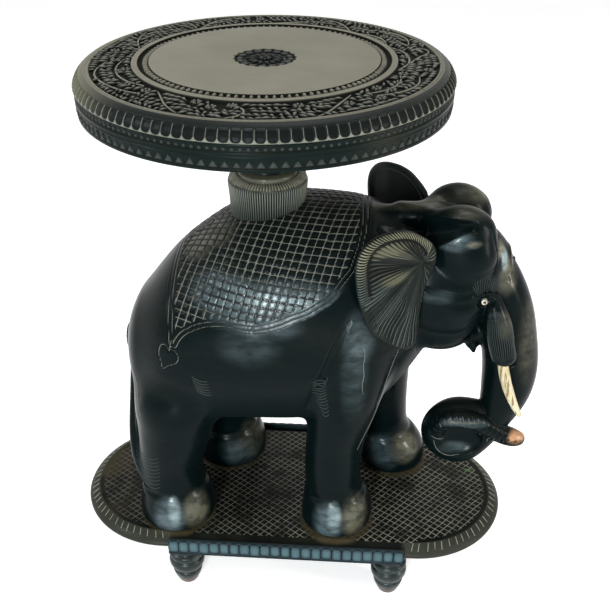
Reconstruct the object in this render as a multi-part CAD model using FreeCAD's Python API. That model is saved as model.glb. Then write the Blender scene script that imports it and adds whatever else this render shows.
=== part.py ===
import FreeCAD, Part
import math
import os

from FreeCAD import Vector

os.makedirs("parts", exist_ok=True)

# All lengths are millimetres. X runs along the plinth towards the elephant's head,
# Y runs across it towards the elephant's left side, and Z is up from the floor.

# Table top
top_radius = 190.0
top_thickness = 18.0
bevel_width = 12.5
rim_width = 5.0
foliage_width = 40.5
plain_ring_width = 6.5
groove_width = 1.5
bead_ring_width = 11.0
bead_ring_drop = 1.0
groove_depth = 2.5
foliage_depth = 4.0
rim_drop = 2.5
bevel_drop = 14.0
nose_height = 2.0
edge_undercut = 2.0
apron_height = 26.0
apron_wall = 18.0
apron_setback = 1.5
apron_bead_height = 10.0
apron_bead_proud = 1.0

# Boss under the table top, and the loose post that it turns on
boss_radius = 62.0
boss_flange = 16.0
boss_neck_radius = 36.0
boss_height = 40.0
post_radius = 14.0
post_length = 100.0
post_roof = 6.0
post_chamfer = 2.0
post_clearance = 0.05
table_x = -24.0

# Pedestal on the elephant's back
drum_radius = 43.0
drum_base_radius = 40.0
drum_shoulder_height = 36.0
drum_height = 64.0
collar_radius = 32.0
collar_height = 7.0
pedestal_neck_radius = 27.0
tenon_radius = 22.0
tenon_depth = 40.0
saddle_sink = 34.0
pedestal_rise = 89.0

# Plinth and its turned feet
plinth_length = 529.0
plinth_width = 226.0
plinth_thickness = 14.0
plinth_bevel_width = 13.0
plinth_bevel_drop = 9.0
strip_end_gap = 10.5
strip_proud = 6.0
strip_rebate = 8.0
strip_lift = 1.0
strip_height = 21.0
strip_bevel_drop = 12.0
strip_bevel_width = 5.0
foot_height = 68.0
foot_radius = 22.0
foot_spigot_radius = 9.0
foot_spigot_length = 10.0
foot_inset_x = 16.0
foot_inset_y = 19.0

# Elephant carving
torso_rear_x = -191.0
torso_length = 354.0
torso_belly_height = 112.0
torso_height = 294.0
torso_width = 220.0
neck_ridge_lead = 57.0
neck_ridge_length = 130.0
neck_ridge_width = 34.0
neck_ridge_depth = 56.0
neck_ridge_sink = 7.0
head_overlap = 51.0
head_length = 126.0
head_rise = 112.0
head_height = 158.0
head_width = 118.0
dome_setback = 58.0
dome_offset = 28.0
dome_sink = 9.0
dome_length = 76.0
dome_width = 60.0
dome_depth = 74.0
jaw_setback = 68.0
jaw_rise = 23.0
jaw_length = 80.0
jaw_width = 66.0
jaw_depth = 52.0
lip_setback = 31.0
lip_drop = 14.0
lip_radius = 9.0
trunk_root_setback = 38.0
trunk_root_rise = 124.0
trunk_hang = 218.0
trunk_reach = 56.0
trunk_sway = 18.0
trunk_radius = 32.0
coil_web_thickness = 24.0
coil_web_length = 84.0
coil_web_height = 52.0
coil_size_share = 1.75
coil_web_shares = (0.607, -0.232, 0.518)
hoof_margin = 1.0
leg_height = 190.0
hind_leg_radius = 44.0
front_leg_radius = 41.0
right_hind_inset = 53.0
left_hind_inset = 103.0
right_front_inset = 249.0
left_front_inset = 318.0
tail_root_inset = 27.0
tail_root_rise = 126.0
tail_drop = 188.0
tail_swing = 78.0
tail_radius = 9.5
sheath_radius = 14.0
sheath_setback = 16.0
sheath_rise = 84.0
sheath_standoff = 6.0
sheath_drop = 80.0
sheath_forward = 18.0

# Inset pieces of the carving
tusk_radius = 6.2
tusk_drop = 70.0
tusk_forward = 26.0
tusk_spread = 5.0
tusk_root = 12.0
tusk_root_radius = 4.5
tusk_taper_shares = (1.00, 0.98, 0.84, 0.42)
inlay_clearance = 0.05
eye_setback = 26.0
eye_rise = 82.0
eye_radius = 3.2
eye_depth = 3.0
eye_proud = 0.6
ear_root_inset = 40.0
ear_root_sink = 1.0
ear_base_rise = 35.0
ear_height = 148.0
ear_reach = 92.0
right_ear_sweep_angle = 28.0
left_ear_sweep_angle = 40.0
ear_thickness = 7.0
ear_rim_radius = 5.5
ear_rim_end_share = 0.6

# Wood screws
leg_screw_radius = 2.5
leg_screw_head_radius = 5.5
leg_screw_head_height = 3.5
leg_screw_length = 52.0
boss_screw_radius = 2.0
boss_screw_head_radius = 4.5
boss_screw_head_height = 3.0
boss_screw_length = 26.0
boss_screw_count = 4
screw_clearance = 0.05

# Worked-out levels, from the floor up
plinth_top = foot_height + plinth_thickness
torso_belly = plinth_top + torso_belly_height
torso_top = torso_belly + torso_height
saddle_level = torso_top - saddle_sink
drum_top = saddle_level + drum_height
boss_base = torso_top + pedestal_rise
board_base = boss_base + boss_height
top_height = board_base + top_thickness
head_base = torso_belly + head_rise
head_crown = head_base + head_height

# Worked-out radii of the table top, from the edge inwards
rim_radius = top_radius - bevel_width
foliage_radius = rim_radius - rim_width
plain_ring_radius = foliage_radius - foliage_width
bead_ring_radius = plain_ring_radius - plain_ring_width - groove_width
disc_radius = bead_ring_radius - bead_ring_width
boss_screw_circle = (boss_radius + boss_neck_radius) / 2

# Worked-out places along and across the plinth
strip_length = plinth_length - plinth_width - 2 * strip_end_gap
leg_line = plinth_width / 2 - strip_rebate - hoof_margin - hind_leg_radius
head_rear_x = torso_rear_x + torso_length - head_overlap
head_front = head_rear_x + head_length
trunk_root_x = head_front - trunk_root_setback
trunk_root_z = head_base + trunk_root_rise
coil_size = coil_size_share * trunk_radius
trunk_front = trunk_root_x + trunk_reach + trunk_radius
outline_front = max(plinth_length / 2, trunk_front)
outline_shift = (plinth_length / 2 - outline_front) / 2
overrun = plinth_thickness


# Basic shapes

def ring(centre, across, up, half_across, half_up, squareness=2.0, count=12):
    """One closed smooth section, an oval that grows squarer as squareness rises."""
    points = []
    for i in range(count):
        angle = 2 * math.pi * i / count
        c = math.cos(angle)
        s = math.sin(angle)
        u = math.copysign(abs(c) ** (2 / squareness), c)
        v = math.copysign(abs(s) ** (2 / squareness), s)
        points.append(centre + across * (u * half_across) + up * (v * half_up))
    curve = Part.BSplineCurve()
    curve.interpolate(Points=points, PeriodicFlag=True)
    return Part.Wire(curve.toShape())


def loft(rings):
    return Part.makeLoft(rings, True, False)


def ovoid(centre, half_x, half_y, half_z):
    ball = Part.makeSphere(1)
    matrix = FreeCAD.Matrix()
    matrix.scale(half_x, half_y, half_z)
    matrix.move(centre)
    return ball.transformGeometry(matrix)


def limb(points, radii, across, flatness=1.0):
    """A tapering limb through centre points, with its sections square to the path."""
    rings = []
    last = len(points) - 1
    for i, point in enumerate(points):
        tangent = points[min(i + 1, last)] - points[max(i - 1, 0)]
        tangent.normalize()
        side = across - tangent * across.dot(tangent)
        side.normalize()
        up = tangent.cross(side)
        rings.append(ring(point, side, up, radii[i] * flatness, radii[i]))
    return loft(rings)


def turned(profile, x, y):
    """A turned piece: a closed outline of (radius, height) pairs, turned about Z."""
    points = [Vector(r, 0, z) for r, z in profile]
    wire = Part.makePolygon(points + [points[0]])
    solid = Part.Face(wire).revolve(Vector(0, 0, 0), Vector(0, 0, 1), 360)
    solid.translate(Vector(x, y, 0))
    return solid


def round_bar(radius, x, y, low, high):
    return Part.makeCylinder(radius, high - low, Vector(x, y, low))


def mirrored(shape):
    return shape.mirror(Vector(0, 0, 0), Vector(0, 1, 0))


def bevelled_stadium(length, width, low, high, bevel_width, bevel_drop):
    """A round-ended board whose upper edge is bevelled all round."""
    radius = width / 2
    half = length / 2 - radius
    knee = high - bevel_drop
    outline = [(0, low), (radius, low), (radius, knee), (radius - bevel_width, high), (0, high)]
    section = [Vector(-half, -r, z) for r, z in outline]
    section += [Vector(-half, r, z) for r, z in reversed(outline[1:-1])]
    body = Part.Face(Part.makePolygon(section + [section[0]])).extrude(Vector(2 * half, 0, 0))
    for x in (-half, half):
        body = body.fuse(turned(outline, x, 0))
    return body.removeSplitter()


# The carving, piece by piece. The elephant is one block; these are its forms.

# Distance along, underside, top and half width, as shares of the torso's sizes
torso_shares = [
    (0.000, 0.300, 0.420, 0.150),
    (0.020, 0.200, 0.500, 0.400),
    (0.070, 0.100, 0.605, 0.660),
    (0.153, 0.040, 0.728, 0.860),
    (0.264, 0.008, 0.850, 0.965),
    (0.403, 0.000, 0.955, 1.000),
    (0.542, 0.007, 0.988, 1.000),
    (0.681, 0.034, 0.985, 0.950),
    (0.806, 0.100, 0.960, 0.800),
    (0.903, 0.230, 0.890, 0.560),
    (0.980, 0.380, 0.820, 0.350),
]

# Distance along, underside, top and half width, as shares of the head's sizes
head_shares = [
    (0.000, 0.300, 0.860, 0.620),
    (0.160, 0.110, 0.930, 0.900),
    (0.400, 0.030, 0.960, 1.000),
    (0.600, 0.060, 0.970, 0.960),
    (0.780, 0.220, 0.950, 0.800),
    (0.910, 0.430, 0.900, 0.560),
    (1.000, 0.620, 0.820, 0.240),
]

# The trunk's middle line: shares of its reach and hang, forward place and drop within the
# coil, sideways place, and radius
trunk_shares = [
    (-0.036, 0.000, 0.000, 0.000, 0.00, 0.80),
    (0.286, 0.101, 0.000, 0.000, 0.00, 0.92),
    (0.554, 0.221, 0.000, 0.000, 0.00, 0.97),
    (0.768, 0.358, 0.000, 0.000, 0.00, 0.98),
    (0.911, 0.523, 0.000, 0.000, 0.00, 1.00),
    (1.000, 0.678, 0.000, 0.000, 0.00, 1.00),
    (0.991, 0.816, 0.000, 0.000, 0.08, 0.97),
    (0.875, 0.922, 0.000, 0.000, 0.28, 0.91),
    (0.607, 1.000, 0.000, 0.000, 0.50, 0.81),
    (0.607, 1.000, -0.357, 0.123, 0.72, 0.73),
    (0.607, 1.000, -0.714, 0.198, 0.89, 0.69),
    (0.607, 1.000, -0.955, 0.411, 1.00, 0.66),
    (0.607, 1.000, -0.982, 0.679, 1.00, 0.62),
    (0.607, 1.000, -0.795, 0.893, 1.00, 0.59),
    (0.607, 1.000, -0.446, 0.957, 1.00, 0.56),
    (0.607, 1.000, -0.071, 0.913, 1.00, 0.52),
    (0.607, 1.000, 0.268, 0.779, 1.00, 0.44),
    (0.607, 1.000, 0.536, 0.634, 1.00, 0.36),
    (0.607, 1.000, 0.714, 0.536, 1.00, 0.27),
]

# Height, forward shift, outward shift and radius of a leg, as shares of its sizes
hind_leg_shares = [
    (0.000, 0.00, 0.00, 1.00),
    (0.110, 0.02, 0.00, 1.01),
    (0.210, 0.00, 0.00, 0.93),
    (0.300, -0.05, 0.00, 0.86),
    (0.420, -0.06, 0.00, 0.85),
    (0.580, 0.04, 0.00, 0.93),
    (0.760, 0.16, -0.04, 1.05),
    (0.930, 0.25, -0.12, 1.18),
    (1.150, 0.34, -0.30, 1.14),
]
right_front_leg_shares = [
    (0.000, 0.00, 0.00, 1.00),
    (0.110, 0.02, 0.00, 1.00),
    (0.210, 0.00, 0.00, 0.92),
    (0.300, -0.09, 0.00, 0.83),
    (0.420, -0.12, 0.00, 0.81),
    (0.600, -0.09, 0.00, 0.82),
    (0.840, 0.08, 0.00, 0.92),
    (1.070, 0.26, -0.06, 1.00),
    (1.330, 0.38, -0.22, 0.96),
]
left_front_leg_shares = [
    (0.000, 0.00, 0.00, 1.00),
    (0.110, 0.00, 0.00, 0.99),
    (0.210, -0.10, 0.00, 0.90),
    (0.300, -0.28, 0.00, 0.80),
    (0.420, -0.38, 0.00, 0.78),
    (0.600, -0.42, 0.00, 0.80),
    (0.840, -0.48, 0.00, 0.88),
    (1.070, -0.60, -0.06, 0.96),
    (1.330, -0.80, -0.22, 0.96),
]

# Backward place, drop and sideways place of the tail's middle line, with its radius
tail_shares = [
    (0.00, 0.00, 0.00, 1.00),
    (0.75, 0.14, 0.08, 1.00),
    (1.10, 0.34, 0.18, 0.88),
    (1.22, 0.55, 0.34, 0.84),
    (1.06, 0.73, 0.56, 1.10),
    (0.50, 0.87, 0.80, 1.34),
    (0.00, 0.96, 0.96, 1.05),
]


def lengthwise(shares, start_x, length, base, height, width):
    rings = []
    for along, under, over, half in shares:
        low = base + under * height
        high = base + over * height
        centre = Vector(start_x + along * length, 0, (low + high) / 2)
        rings.append(ring(centre, Vector(0, 1, 0), Vector(0, 0, 1), half * width / 2, (high - low) / 2, 2.2))
    return loft(rings)


def torso():
    return lengthwise(torso_shares, torso_rear_x, torso_length, torso_belly, torso_height, torso_width)


def neck_ridge():
    half = neck_ridge_depth / 2
    middle = torso_top - neck_ridge_sink - half
    rings = []
    for along, width in ((0, 0.5), (0.3, 1.0), (0.7, 1.0), (1.0, 0.8)):
        centre = Vector(head_rear_x - neck_ridge_lead + along * neck_ridge_length, 0, middle)
        rings.append(ring(centre, Vector(0, 1, 0), Vector(0, 0, 1), width * neck_ridge_width / 2, half, 2.6))
    return loft(rings)


def head():
    skull = lengthwise(head_shares, head_rear_x, head_length, head_base, head_height, head_width)
    forms = [skull]
    for side in (-1, 1):
        centre = Vector(head_front - dome_setback, side * dome_offset, head_crown - dome_sink)
        forms.append(ovoid(centre, dome_length / 2, dome_width / 2, dome_depth / 2))
    jaw_centre = Vector(head_front - jaw_setback, 0, head_base + jaw_rise)
    forms.append(ovoid(jaw_centre, jaw_length / 2, jaw_width / 2, jaw_depth / 2))
    lip_tip = Vector(head_front - lip_setback, 0, head_base - lip_drop)
    lip_root = jaw_centre + Vector(jaw_length / 4, 0, 0)
    lip_direction = lip_tip - lip_root
    forms.append(Part.makeCone(2 * lip_radius, lip_radius / 3, lip_direction.Length, lip_root, lip_direction))
    return forms


def trunk_place(reach, hang, coil_forward, coil_drop, sway):
    x = trunk_root_x + reach * trunk_reach + coil_forward * coil_size
    return Vector(x, -sway * trunk_sway, trunk_root_z - hang * trunk_hang - coil_drop * coil_size)


def trunk():
    points = [trunk_place(*row[:-1]) for row in trunk_shares]
    radii = [row[-1] * trunk_radius for row in trunk_shares]
    reach, coil_forward, coil_drop = coil_web_shares
    near_face = trunk_place(reach, 1, coil_forward, coil_drop, 1) - Vector(0, coil_web_thickness / 2, 0)
    oval = ring(near_face, Vector(1, 0, 0), Vector(0, 0, 1), coil_web_length / 2, coil_web_height / 2)
    web = Part.Face(oval).extrude(Vector(0, coil_web_thickness, 0))
    return [limb(points, radii, Vector(0, 1, 0)), web]


def leg(shares, x, side, radius):
    rings = []
    for up, forward, outward, girth in shares:
        centre = Vector(x + forward * radius, side * (leg_line + outward * radius),
                        plinth_top + up * leg_height)
        half = girth * radius
        rings.append(ring(centre, Vector(1, 0, 0), Vector(0, 1, 0), half, half))
    return loft(rings)


def leg_places():
    insets = (right_hind_inset, left_hind_inset, right_front_inset, left_front_inset)
    return [(torso_rear_x + inset, side) for inset, side in zip(insets, (-1, 1, -1, 1))]


def legs():
    shares = (hind_leg_shares, hind_leg_shares, right_front_leg_shares, left_front_leg_shares)
    radii = (hind_leg_radius, hind_leg_radius, front_leg_radius, front_leg_radius)
    return [leg(table, x, side, radius) for table, (x, side), radius in zip(shares, leg_places(), radii)]


def tail():
    points = []
    radii = []
    for backward, drop, swing, radius in tail_shares:
        points.append(Vector(torso_rear_x + tail_root_inset - backward * 2 * tail_radius,
                             -swing * tail_swing, torso_belly + tail_root_rise - drop * tail_drop))
        radii.append(radius * tail_radius)
    return limb(points, radii, Vector(0, 1, 0))


def sheath_ends():
    top = Vector(head_front - sheath_setback, -trunk_radius - sheath_standoff, head_base + sheath_rise)
    low = top + Vector(sheath_forward, -tusk_spread, -sheath_drop)
    return top, low


def sheath():
    top, low = sheath_ends()
    middle = (top + low) / 2 + Vector(sheath_forward / 8, -tusk_spread / 2, 0)
    return limb([top, middle, low], [sheath_radius / 2, sheath_radius, sheath_radius], Vector(0, 1, 0))


def build_elephant():
    side_sheath = sheath()
    forms = legs() + [neck_ridge()] + head() + trunk() + [tail(), side_sheath, mirrored(side_sheath)]
    body = torso()
    for form in forms:
        body = body.fuse(form)
    return body


# The table top and what carries it

def top_board():
    crown = board_base + top_thickness
    knee = crown - rim_drop - bevel_drop
    groove_floor = crown - groove_depth
    ring_top = crown - bead_ring_drop
    ground = crown - foliage_depth
    outline = [
        (0, crown),
        (disc_radius, crown),
        (disc_radius, ring_top),
        (bead_ring_radius, ring_top),
        (bead_ring_radius, groove_floor),
        (bead_ring_radius + groove_width, groove_floor),
        (bead_ring_radius + groove_width, crown),
        (plain_ring_radius, crown),
        (plain_ring_radius, ground),
        (foliage_radius, ground),
        (foliage_radius, crown - rim_drop),
        (rim_radius, crown - rim_drop),
        (top_radius, knee),
        (top_radius, knee - nose_height),
        (top_radius - edge_undercut, board_base),
        (0, board_base),
    ]
    board = turned(outline, table_x, 0)
    for x, y in boss_screw_places():
        board = board.cut(boss_screw(x, y, screw_clearance))
    return board


def apron_ring():
    outer = top_radius - apron_setback
    inner = outer - apron_wall
    low = board_base - apron_height
    bead_low = board_base - apron_bead_height
    outline = [
        (inner, board_base),
        (outer - edge_undercut, board_base),
        (outer, board_base - edge_undercut),
        (outer, bead_low),
        (outer - apron_bead_proud, bead_low - apron_bead_proud),
        (outer - apron_bead_proud, low),
        (inner, low),
    ]
    return turned(outline, table_x, 0)


def boss_screw_places():
    places = []
    for i in range(boss_screw_count):
        angle = 2 * math.pi * (i + 0.5) / boss_screw_count
        places.append((table_x + boss_screw_circle * math.cos(angle), boss_screw_circle * math.sin(angle)))
    return places


def top_boss():
    flange_base = board_base - boss_flange
    outline = [
        (0, board_base),
        (boss_radius, board_base),
        (boss_radius, flange_base + boss_flange / 4),
        (boss_radius - boss_flange / 4, flange_base),
        (boss_neck_radius + boss_flange / 4, flange_base - boss_flange / 4),
        (boss_neck_radius, flange_base - boss_flange / 2),
        (boss_neck_radius, boss_base),
        (0, boss_base),
    ]
    solid = turned(outline, table_x, 0)
    socket = round_bar(post_radius + post_clearance, table_x, 0, boss_base - overrun,
                       post_top() + post_clearance)
    solid = solid.cut(socket)
    for x, y in boss_screw_places():
        solid = solid.cut(boss_screw(x, y, screw_clearance))
    return solid


def post_top():
    return board_base - post_roof


def centre_post():
    low = post_top() - post_length
    bar = round_bar(post_radius, table_x, 0, low, post_top())
    return bar.makeChamfer(post_chamfer, [e for e in bar.Edges if e.Curve.TypeId == "Part::GeomCircle"])


def pedestal(carving):
    shoulder = saddle_level + drum_shoulder_height
    collar_base = drum_top - collar_height
    low = saddle_level - drum_radius
    curve_in = (drum_radius - collar_radius) / 2
    outline = [
        (0, low),
        (drum_base_radius, low),
        (drum_base_radius, saddle_level),
        (drum_radius, (saddle_level + shoulder) / 2),
        (drum_radius, shoulder),
        (drum_radius - curve_in / 2, shoulder + curve_in),
        (collar_radius + curve_in / 2, collar_base - curve_in / 2),
        (collar_radius - curve_in / 2, collar_base),
        (collar_radius, collar_base + collar_height / 3),
        (collar_radius, drum_top - collar_height / 3),
        (pedestal_neck_radius, drum_top),
        (pedestal_neck_radius, boss_base - collar_height),
        (boss_neck_radius, boss_base),
        (0, boss_base),
    ]
    drum = turned(outline, table_x, 0).cut(carving)
    tenon = round_bar(tenon_radius, table_x, 0, torso_top - tenon_depth, shoulder)
    bore = round_bar(post_radius + post_clearance, table_x, 0, post_top() - post_length - post_clearance,
                     boss_base + overrun)
    return drum.fuse(tenon).removeSplitter().cut(bore)


# Screws and feet

def screw(x, y, head_face, length, radius, head_radius, head_height, clearance=0.0):
    """A countersunk screw driven upwards, its head flush with the face it enters."""
    shank = round_bar(radius + clearance, x, y, head_face, head_face + length + clearance)
    low = -overrun if clearance else 0
    head = Part.makeCone(head_radius + clearance, radius + clearance, head_height, Vector(x, y, head_face))
    solid = shank.fuse(head)
    if clearance:
        solid = solid.fuse(round_bar(head_radius + clearance, x, y, head_face + low, head_face))
    return solid


def boss_screw(x, y, clearance=0.0):
    return screw(x, y, board_base - boss_flange, boss_screw_length, boss_screw_radius,
                 boss_screw_head_radius, boss_screw_head_height, clearance)


def leg_screw(x, side, clearance=0.0):
    return screw(x, side * leg_line, foot_height, leg_screw_length, leg_screw_radius,
                 leg_screw_head_radius, leg_screw_head_height, clearance)


# Radius and height of a bun foot's turned outline, as shares of its radius and height
foot_shares = [
    (0.40, 0.00),
    (0.62, 0.05),
    (0.80, 0.14),
    (0.84, 0.24),
    (0.78, 0.33),
    (0.72, 0.37),
    (0.92, 0.43),
    (1.00, 0.52),
    (0.99, 0.62),
    (0.88, 0.70),
    (0.76, 0.73),
    (0.90, 0.77),
    (0.96, 0.83),
    (0.88, 0.89),
    (0.78, 0.92),
    (0.86, 1.00),
]


def bun_foot(x, y):
    outline = [(0, 0)]
    outline += [(r * foot_radius, h * foot_height) for r, h in foot_shares]
    outline += [
        (foot_spigot_radius, foot_height),
        (foot_spigot_radius, foot_height + foot_spigot_length),
        (0, foot_height + foot_spigot_length),
    ]
    return turned(outline, x, y)


def foot_places():
    y = plinth_width / 2 - foot_inset_y
    x = strip_length / 2 - foot_inset_x
    return {"front_right": (x, -y), "front_left": (x, y), "rear_right": (-x, -y), "rear_left": (-x, y)}


# The plinth

def edge_strip(side):
    depth = strip_proud + strip_rebate
    half = strip_length / 2
    outer = plinth_width / 2 + strip_proud
    top = plinth_top + strip_lift
    outline = [
        (outer - depth, foot_height),
        (outer - strip_proud, foot_height),
        (outer - strip_proud, top - strip_height),
        (outer, top - strip_height),
        (outer, top - strip_bevel_drop),
        (outer - strip_bevel_width, top),
        (outer - depth, top),
    ]
    points = [Vector(-half, side * y, z) for y, z in outline]
    return Part.Face(Part.makePolygon(points + [points[0]])).extrude(Vector(2 * half, 0, 0))


def rebate(side):
    depth = strip_rebate
    low = foot_height - overrun
    inner = plinth_width / 2 - depth
    return Part.makeBox(strip_length, depth + overrun, plinth_thickness + 2 * overrun,
                        Vector(-strip_length / 2, inner if side > 0 else -inner - depth - overrun, low))


def plinth():
    board = bevelled_stadium(plinth_length, plinth_width, foot_height, plinth_top,
                             plinth_bevel_width, plinth_bevel_drop)
    for side in (-1, 1):
        board = board.cut(rebate(side))
    for x, y in foot_places().values():
        board = board.cut(round_bar(foot_spigot_radius + inlay_clearance, x, y, foot_height - overrun,
                                    foot_height + foot_spigot_length + inlay_clearance))
    for x, side in leg_places():
        board = board.cut(leg_screw(x, side, screw_clearance))
    return board


# Pieces set into the carving

def tusk():
    _, low = sheath_ends()
    tip = low + Vector(tusk_forward, -tusk_spread, -tusk_drop)
    bow = Vector(-tusk_radius / 2, -tusk_radius / 4, 0)
    points = [low, low * 2 / 3 + tip / 3 + bow, low / 3 + tip * 2 / 3 + bow, tip]
    radii = [share * tusk_radius for share in tusk_taper_shares]
    direction = points[1] - points[0]
    direction.normalize()
    reach = tusk_root + tusk_radius
    root = Part.makeCylinder(tusk_root_radius, reach, low - direction * tusk_root, direction)
    socket = Part.makeCylinder(tusk_root_radius + inlay_clearance, reach + inlay_clearance,
                               low - direction * (tusk_root + inlay_clearance), direction)
    return limb(points, radii, Vector(0, 1, 0)), root, socket


# Reach from the root and height of the ear's outline, as shares of its sizes.
# The first points are the rolled upper rim.
ear_rim_count = 8
ear_shares = [
    (0.10, 0.83),
    (0.28, 0.95),
    (0.48, 1.00),
    (0.72, 0.97),
    (0.92, 0.91),
    (1.00, 0.78),
    (0.99, 0.66),
    (0.95, 0.50),
    (0.86, 0.36),
    (0.72, 0.20),
    (0.52, 0.08),
    (0.30, 0.00),
    (0.18, 0.02),
    (0.13, 0.14),
    (0.10, 0.30),
    (-0.06, 0.46),
    (-0.16, 0.62),
    (-0.10, 0.76),
]


def ear_frame(sweep_angle):
    angle = math.radians(sweep_angle)
    outward = Vector(-math.cos(angle), -math.sin(angle), 0)
    normal = Vector(math.sin(angle), -math.cos(angle), 0)
    root = Vector(head_rear_x + ear_root_inset, ear_root_sink - head_width / 2, head_base + ear_base_rise)
    return root, outward, normal


def ear(carving, sweep_angle):
    """The right ear; the left one is this shape at its own angle, mirrored."""
    root, outward, normal = ear_frame(sweep_angle)
    points = []
    for reach, rise in ear_shares:
        points.append(root + outward * (reach * ear_reach) + Vector(0, 0, rise * ear_height))
    curve = Part.BSplineCurve()
    curve.interpolate(Points=points, PeriodicFlag=True)
    leaf = Part.Face(Part.Wire(curve.toShape()))
    leaf.translate(normal * (-ear_thickness / 2))
    plate = leaf.extrude(normal * ear_thickness)
    middle = plate.CenterOfMass
    rim_points = []
    for point in points[:ear_rim_count]:
        inward = middle - point
        inward.normalize()
        rim_points.append(point + inward * ear_rim_radius)
    radii = [ear_rim_radius] * ear_rim_count
    radii[0] = radii[-1] = ear_rim_end_share * ear_rim_radius
    plate = plate.fuse(limb(rim_points, radii, normal))
    blank = plate.cut(carving)
    return max(blank.Solids, key=lambda solid: solid.Volume)


def surface_y(carving, x, z):
    """Where the carving's right side stands at this place."""
    reach = plinth_width
    line = Part.makeLine(Vector(x, -reach, z), Vector(x, 0, z))
    return carving.common(line).BoundBox.YMin


def eye(carving):
    x = head_front - eye_setback
    z = head_base + eye_rise
    face = surface_y(carving, x, z)
    axis = Vector(0, -1, 0)
    back = Vector(x, face + eye_depth, z)
    disc = Part.makeCylinder(eye_radius, eye_depth + eye_proud, back, axis)
    pupil_radius = eye_radius / 2
    pupil_back = back + axis * (eye_depth / 2)
    pupil_hole = Part.makeCylinder(pupil_radius, eye_depth + eye_proud, pupil_back, axis)
    pupil = Part.makeCylinder(pupil_radius, eye_depth / 2 + eye_proud * 5 / 4, pupil_back, axis)
    socket = Part.makeCylinder(eye_radius + inlay_clearance, eye_depth + overrun, back, axis)
    return disc.cut(pupil_hole), pupil, socket


# Building and writing

def place(name, shape):
    """Write one piece, with the origin under the middle of the whole outline."""
    moved = shape.copy()
    moved.translate(Vector(outline_shift, 0, 0))
    print(name, "solids", len(moved.Solids), "valid", moved.isValid(), flush=True)
    moved.exportStep("parts/" + name + ".step")


def main():
    elephant = build_elephant()
    eye_disc, pupil, eye_socket = eye(elephant)
    tusk_body, tusk_peg, tusk_socket = tusk()
    place("right_ear", ear(elephant, right_ear_sweep_angle))
    place("left_ear", mirrored(ear(mirrored(elephant), left_ear_sweep_angle)))
    drum = pedestal(elephant)
    tenon_socket = round_bar(tenon_radius + inlay_clearance, table_x, 0,
                             torso_top - tenon_depth - inlay_clearance, torso_top + overrun)
    tusk_blank = tusk_body.cut(elephant).fuse(tusk_peg)
    for cutter in (eye_socket, tusk_socket):
        elephant = elephant.cut(cutter).cut(mirrored(cutter))
    elephant = elephant.cut(tenon_socket)
    for x, side in leg_places():
        elephant = elephant.cut(leg_screw(x, side, screw_clearance))
    place("elephant_carving", elephant)
    for name, shape in (("tusk", tusk_blank), ("eye_ring", eye_disc), ("pupil", pupil)):
        place("right_" + name, shape)
        place("left_" + name, mirrored(shape))
    place("pedestal", drum)
    place("centre_post", centre_post())
    place("top_board", top_board())
    place("apron_ring", apron_ring())
    place("top_boss", top_boss())
    place("plinth_board", plinth())
    place("right_edge_strip", edge_strip(-1))
    place("left_edge_strip", edge_strip(1))
    for name, (x, y) in foot_places().items():
        place(name + "_foot", bun_foot(x, y))
    place("leg_screws", Part.makeCompound([leg_screw(x, side) for x, side in leg_places()]))
    place("boss_screws", Part.makeCompound([boss_screw(x, y) for x, y in boss_screw_places()]))


main()
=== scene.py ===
import math
import bpy
import numpy as np
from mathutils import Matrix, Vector


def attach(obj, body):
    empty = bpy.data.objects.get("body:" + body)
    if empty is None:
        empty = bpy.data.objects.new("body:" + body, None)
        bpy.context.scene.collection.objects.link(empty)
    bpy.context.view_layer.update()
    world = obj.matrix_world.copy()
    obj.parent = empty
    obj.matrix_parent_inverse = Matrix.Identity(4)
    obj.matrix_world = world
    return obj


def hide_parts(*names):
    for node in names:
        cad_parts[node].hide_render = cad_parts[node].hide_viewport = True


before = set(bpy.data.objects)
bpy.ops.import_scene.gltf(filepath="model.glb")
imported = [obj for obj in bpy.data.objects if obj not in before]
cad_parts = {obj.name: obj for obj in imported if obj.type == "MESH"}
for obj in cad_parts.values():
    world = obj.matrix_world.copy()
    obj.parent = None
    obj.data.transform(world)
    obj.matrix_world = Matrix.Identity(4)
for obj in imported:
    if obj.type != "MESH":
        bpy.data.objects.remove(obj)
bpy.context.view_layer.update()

mm = 0.001
shiftX = -11.75          # mm from the plinth's centre to the frame's origin
tableX = -24.0           # the top's axis, from the plinth's centre
plinthTop = 82.0
print("frame loaded:", len(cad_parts), "nodes")


class Wire:
    # one output of a node, so that maths on it reads as plain arithmetic
    def __init__(self, tree, socket):
        self.tree = tree
        self.socket = socket

    def out(self, name):
        # another output of the same node
        return Wire(self.tree, self.socket.node.outputs[name])

    def calc(self, operation, *others):
        return self.tree.node("ShaderNodeMath", {"operation": operation}, dict(enumerate((self,) + others)))

    def __add__(self, other):
        return self.calc("ADD", other)

    def __mul__(self, other):
        return self.calc("MULTIPLY", other)

    def __sub__(self, other):
        return self.calc("SUBTRACT", other)

    def __rsub__(self, other):
        return self.calc("MULTIPLY_ADD", -1.0, other)

    def __truediv__(self, other):
        return self.calc("DIVIDE", other)

    def __pow__(self, other):
        return self.calc("POWER", other)

    def __abs__(self):
        return self.calc("ABSOLUTE")

    __radd__ = __add__
    __rmul__ = __mul__

    def limit(self, low=0, high=1):
        return self.calc("MAXIMUM", low).calc("MINIMUM", high)

    def step(self, low, high, first=0.0, last=1.0):
        # smooth change from first to last while the value goes from low to high
        return self.tree.node("ShaderNodeMapRange", {"interpolation_type": "SMOOTHSTEP"},
                              {"Value": self, "From Min": low, "From Max": high, "To Min": first,
                               "To Max": last})

    def wave(self, pitch):
        # distance from the middle of the nearest repeat: 0 on it, 0.5 between two
        share = self / pitch
        return abs(share - share.calc("ROUND"))


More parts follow.
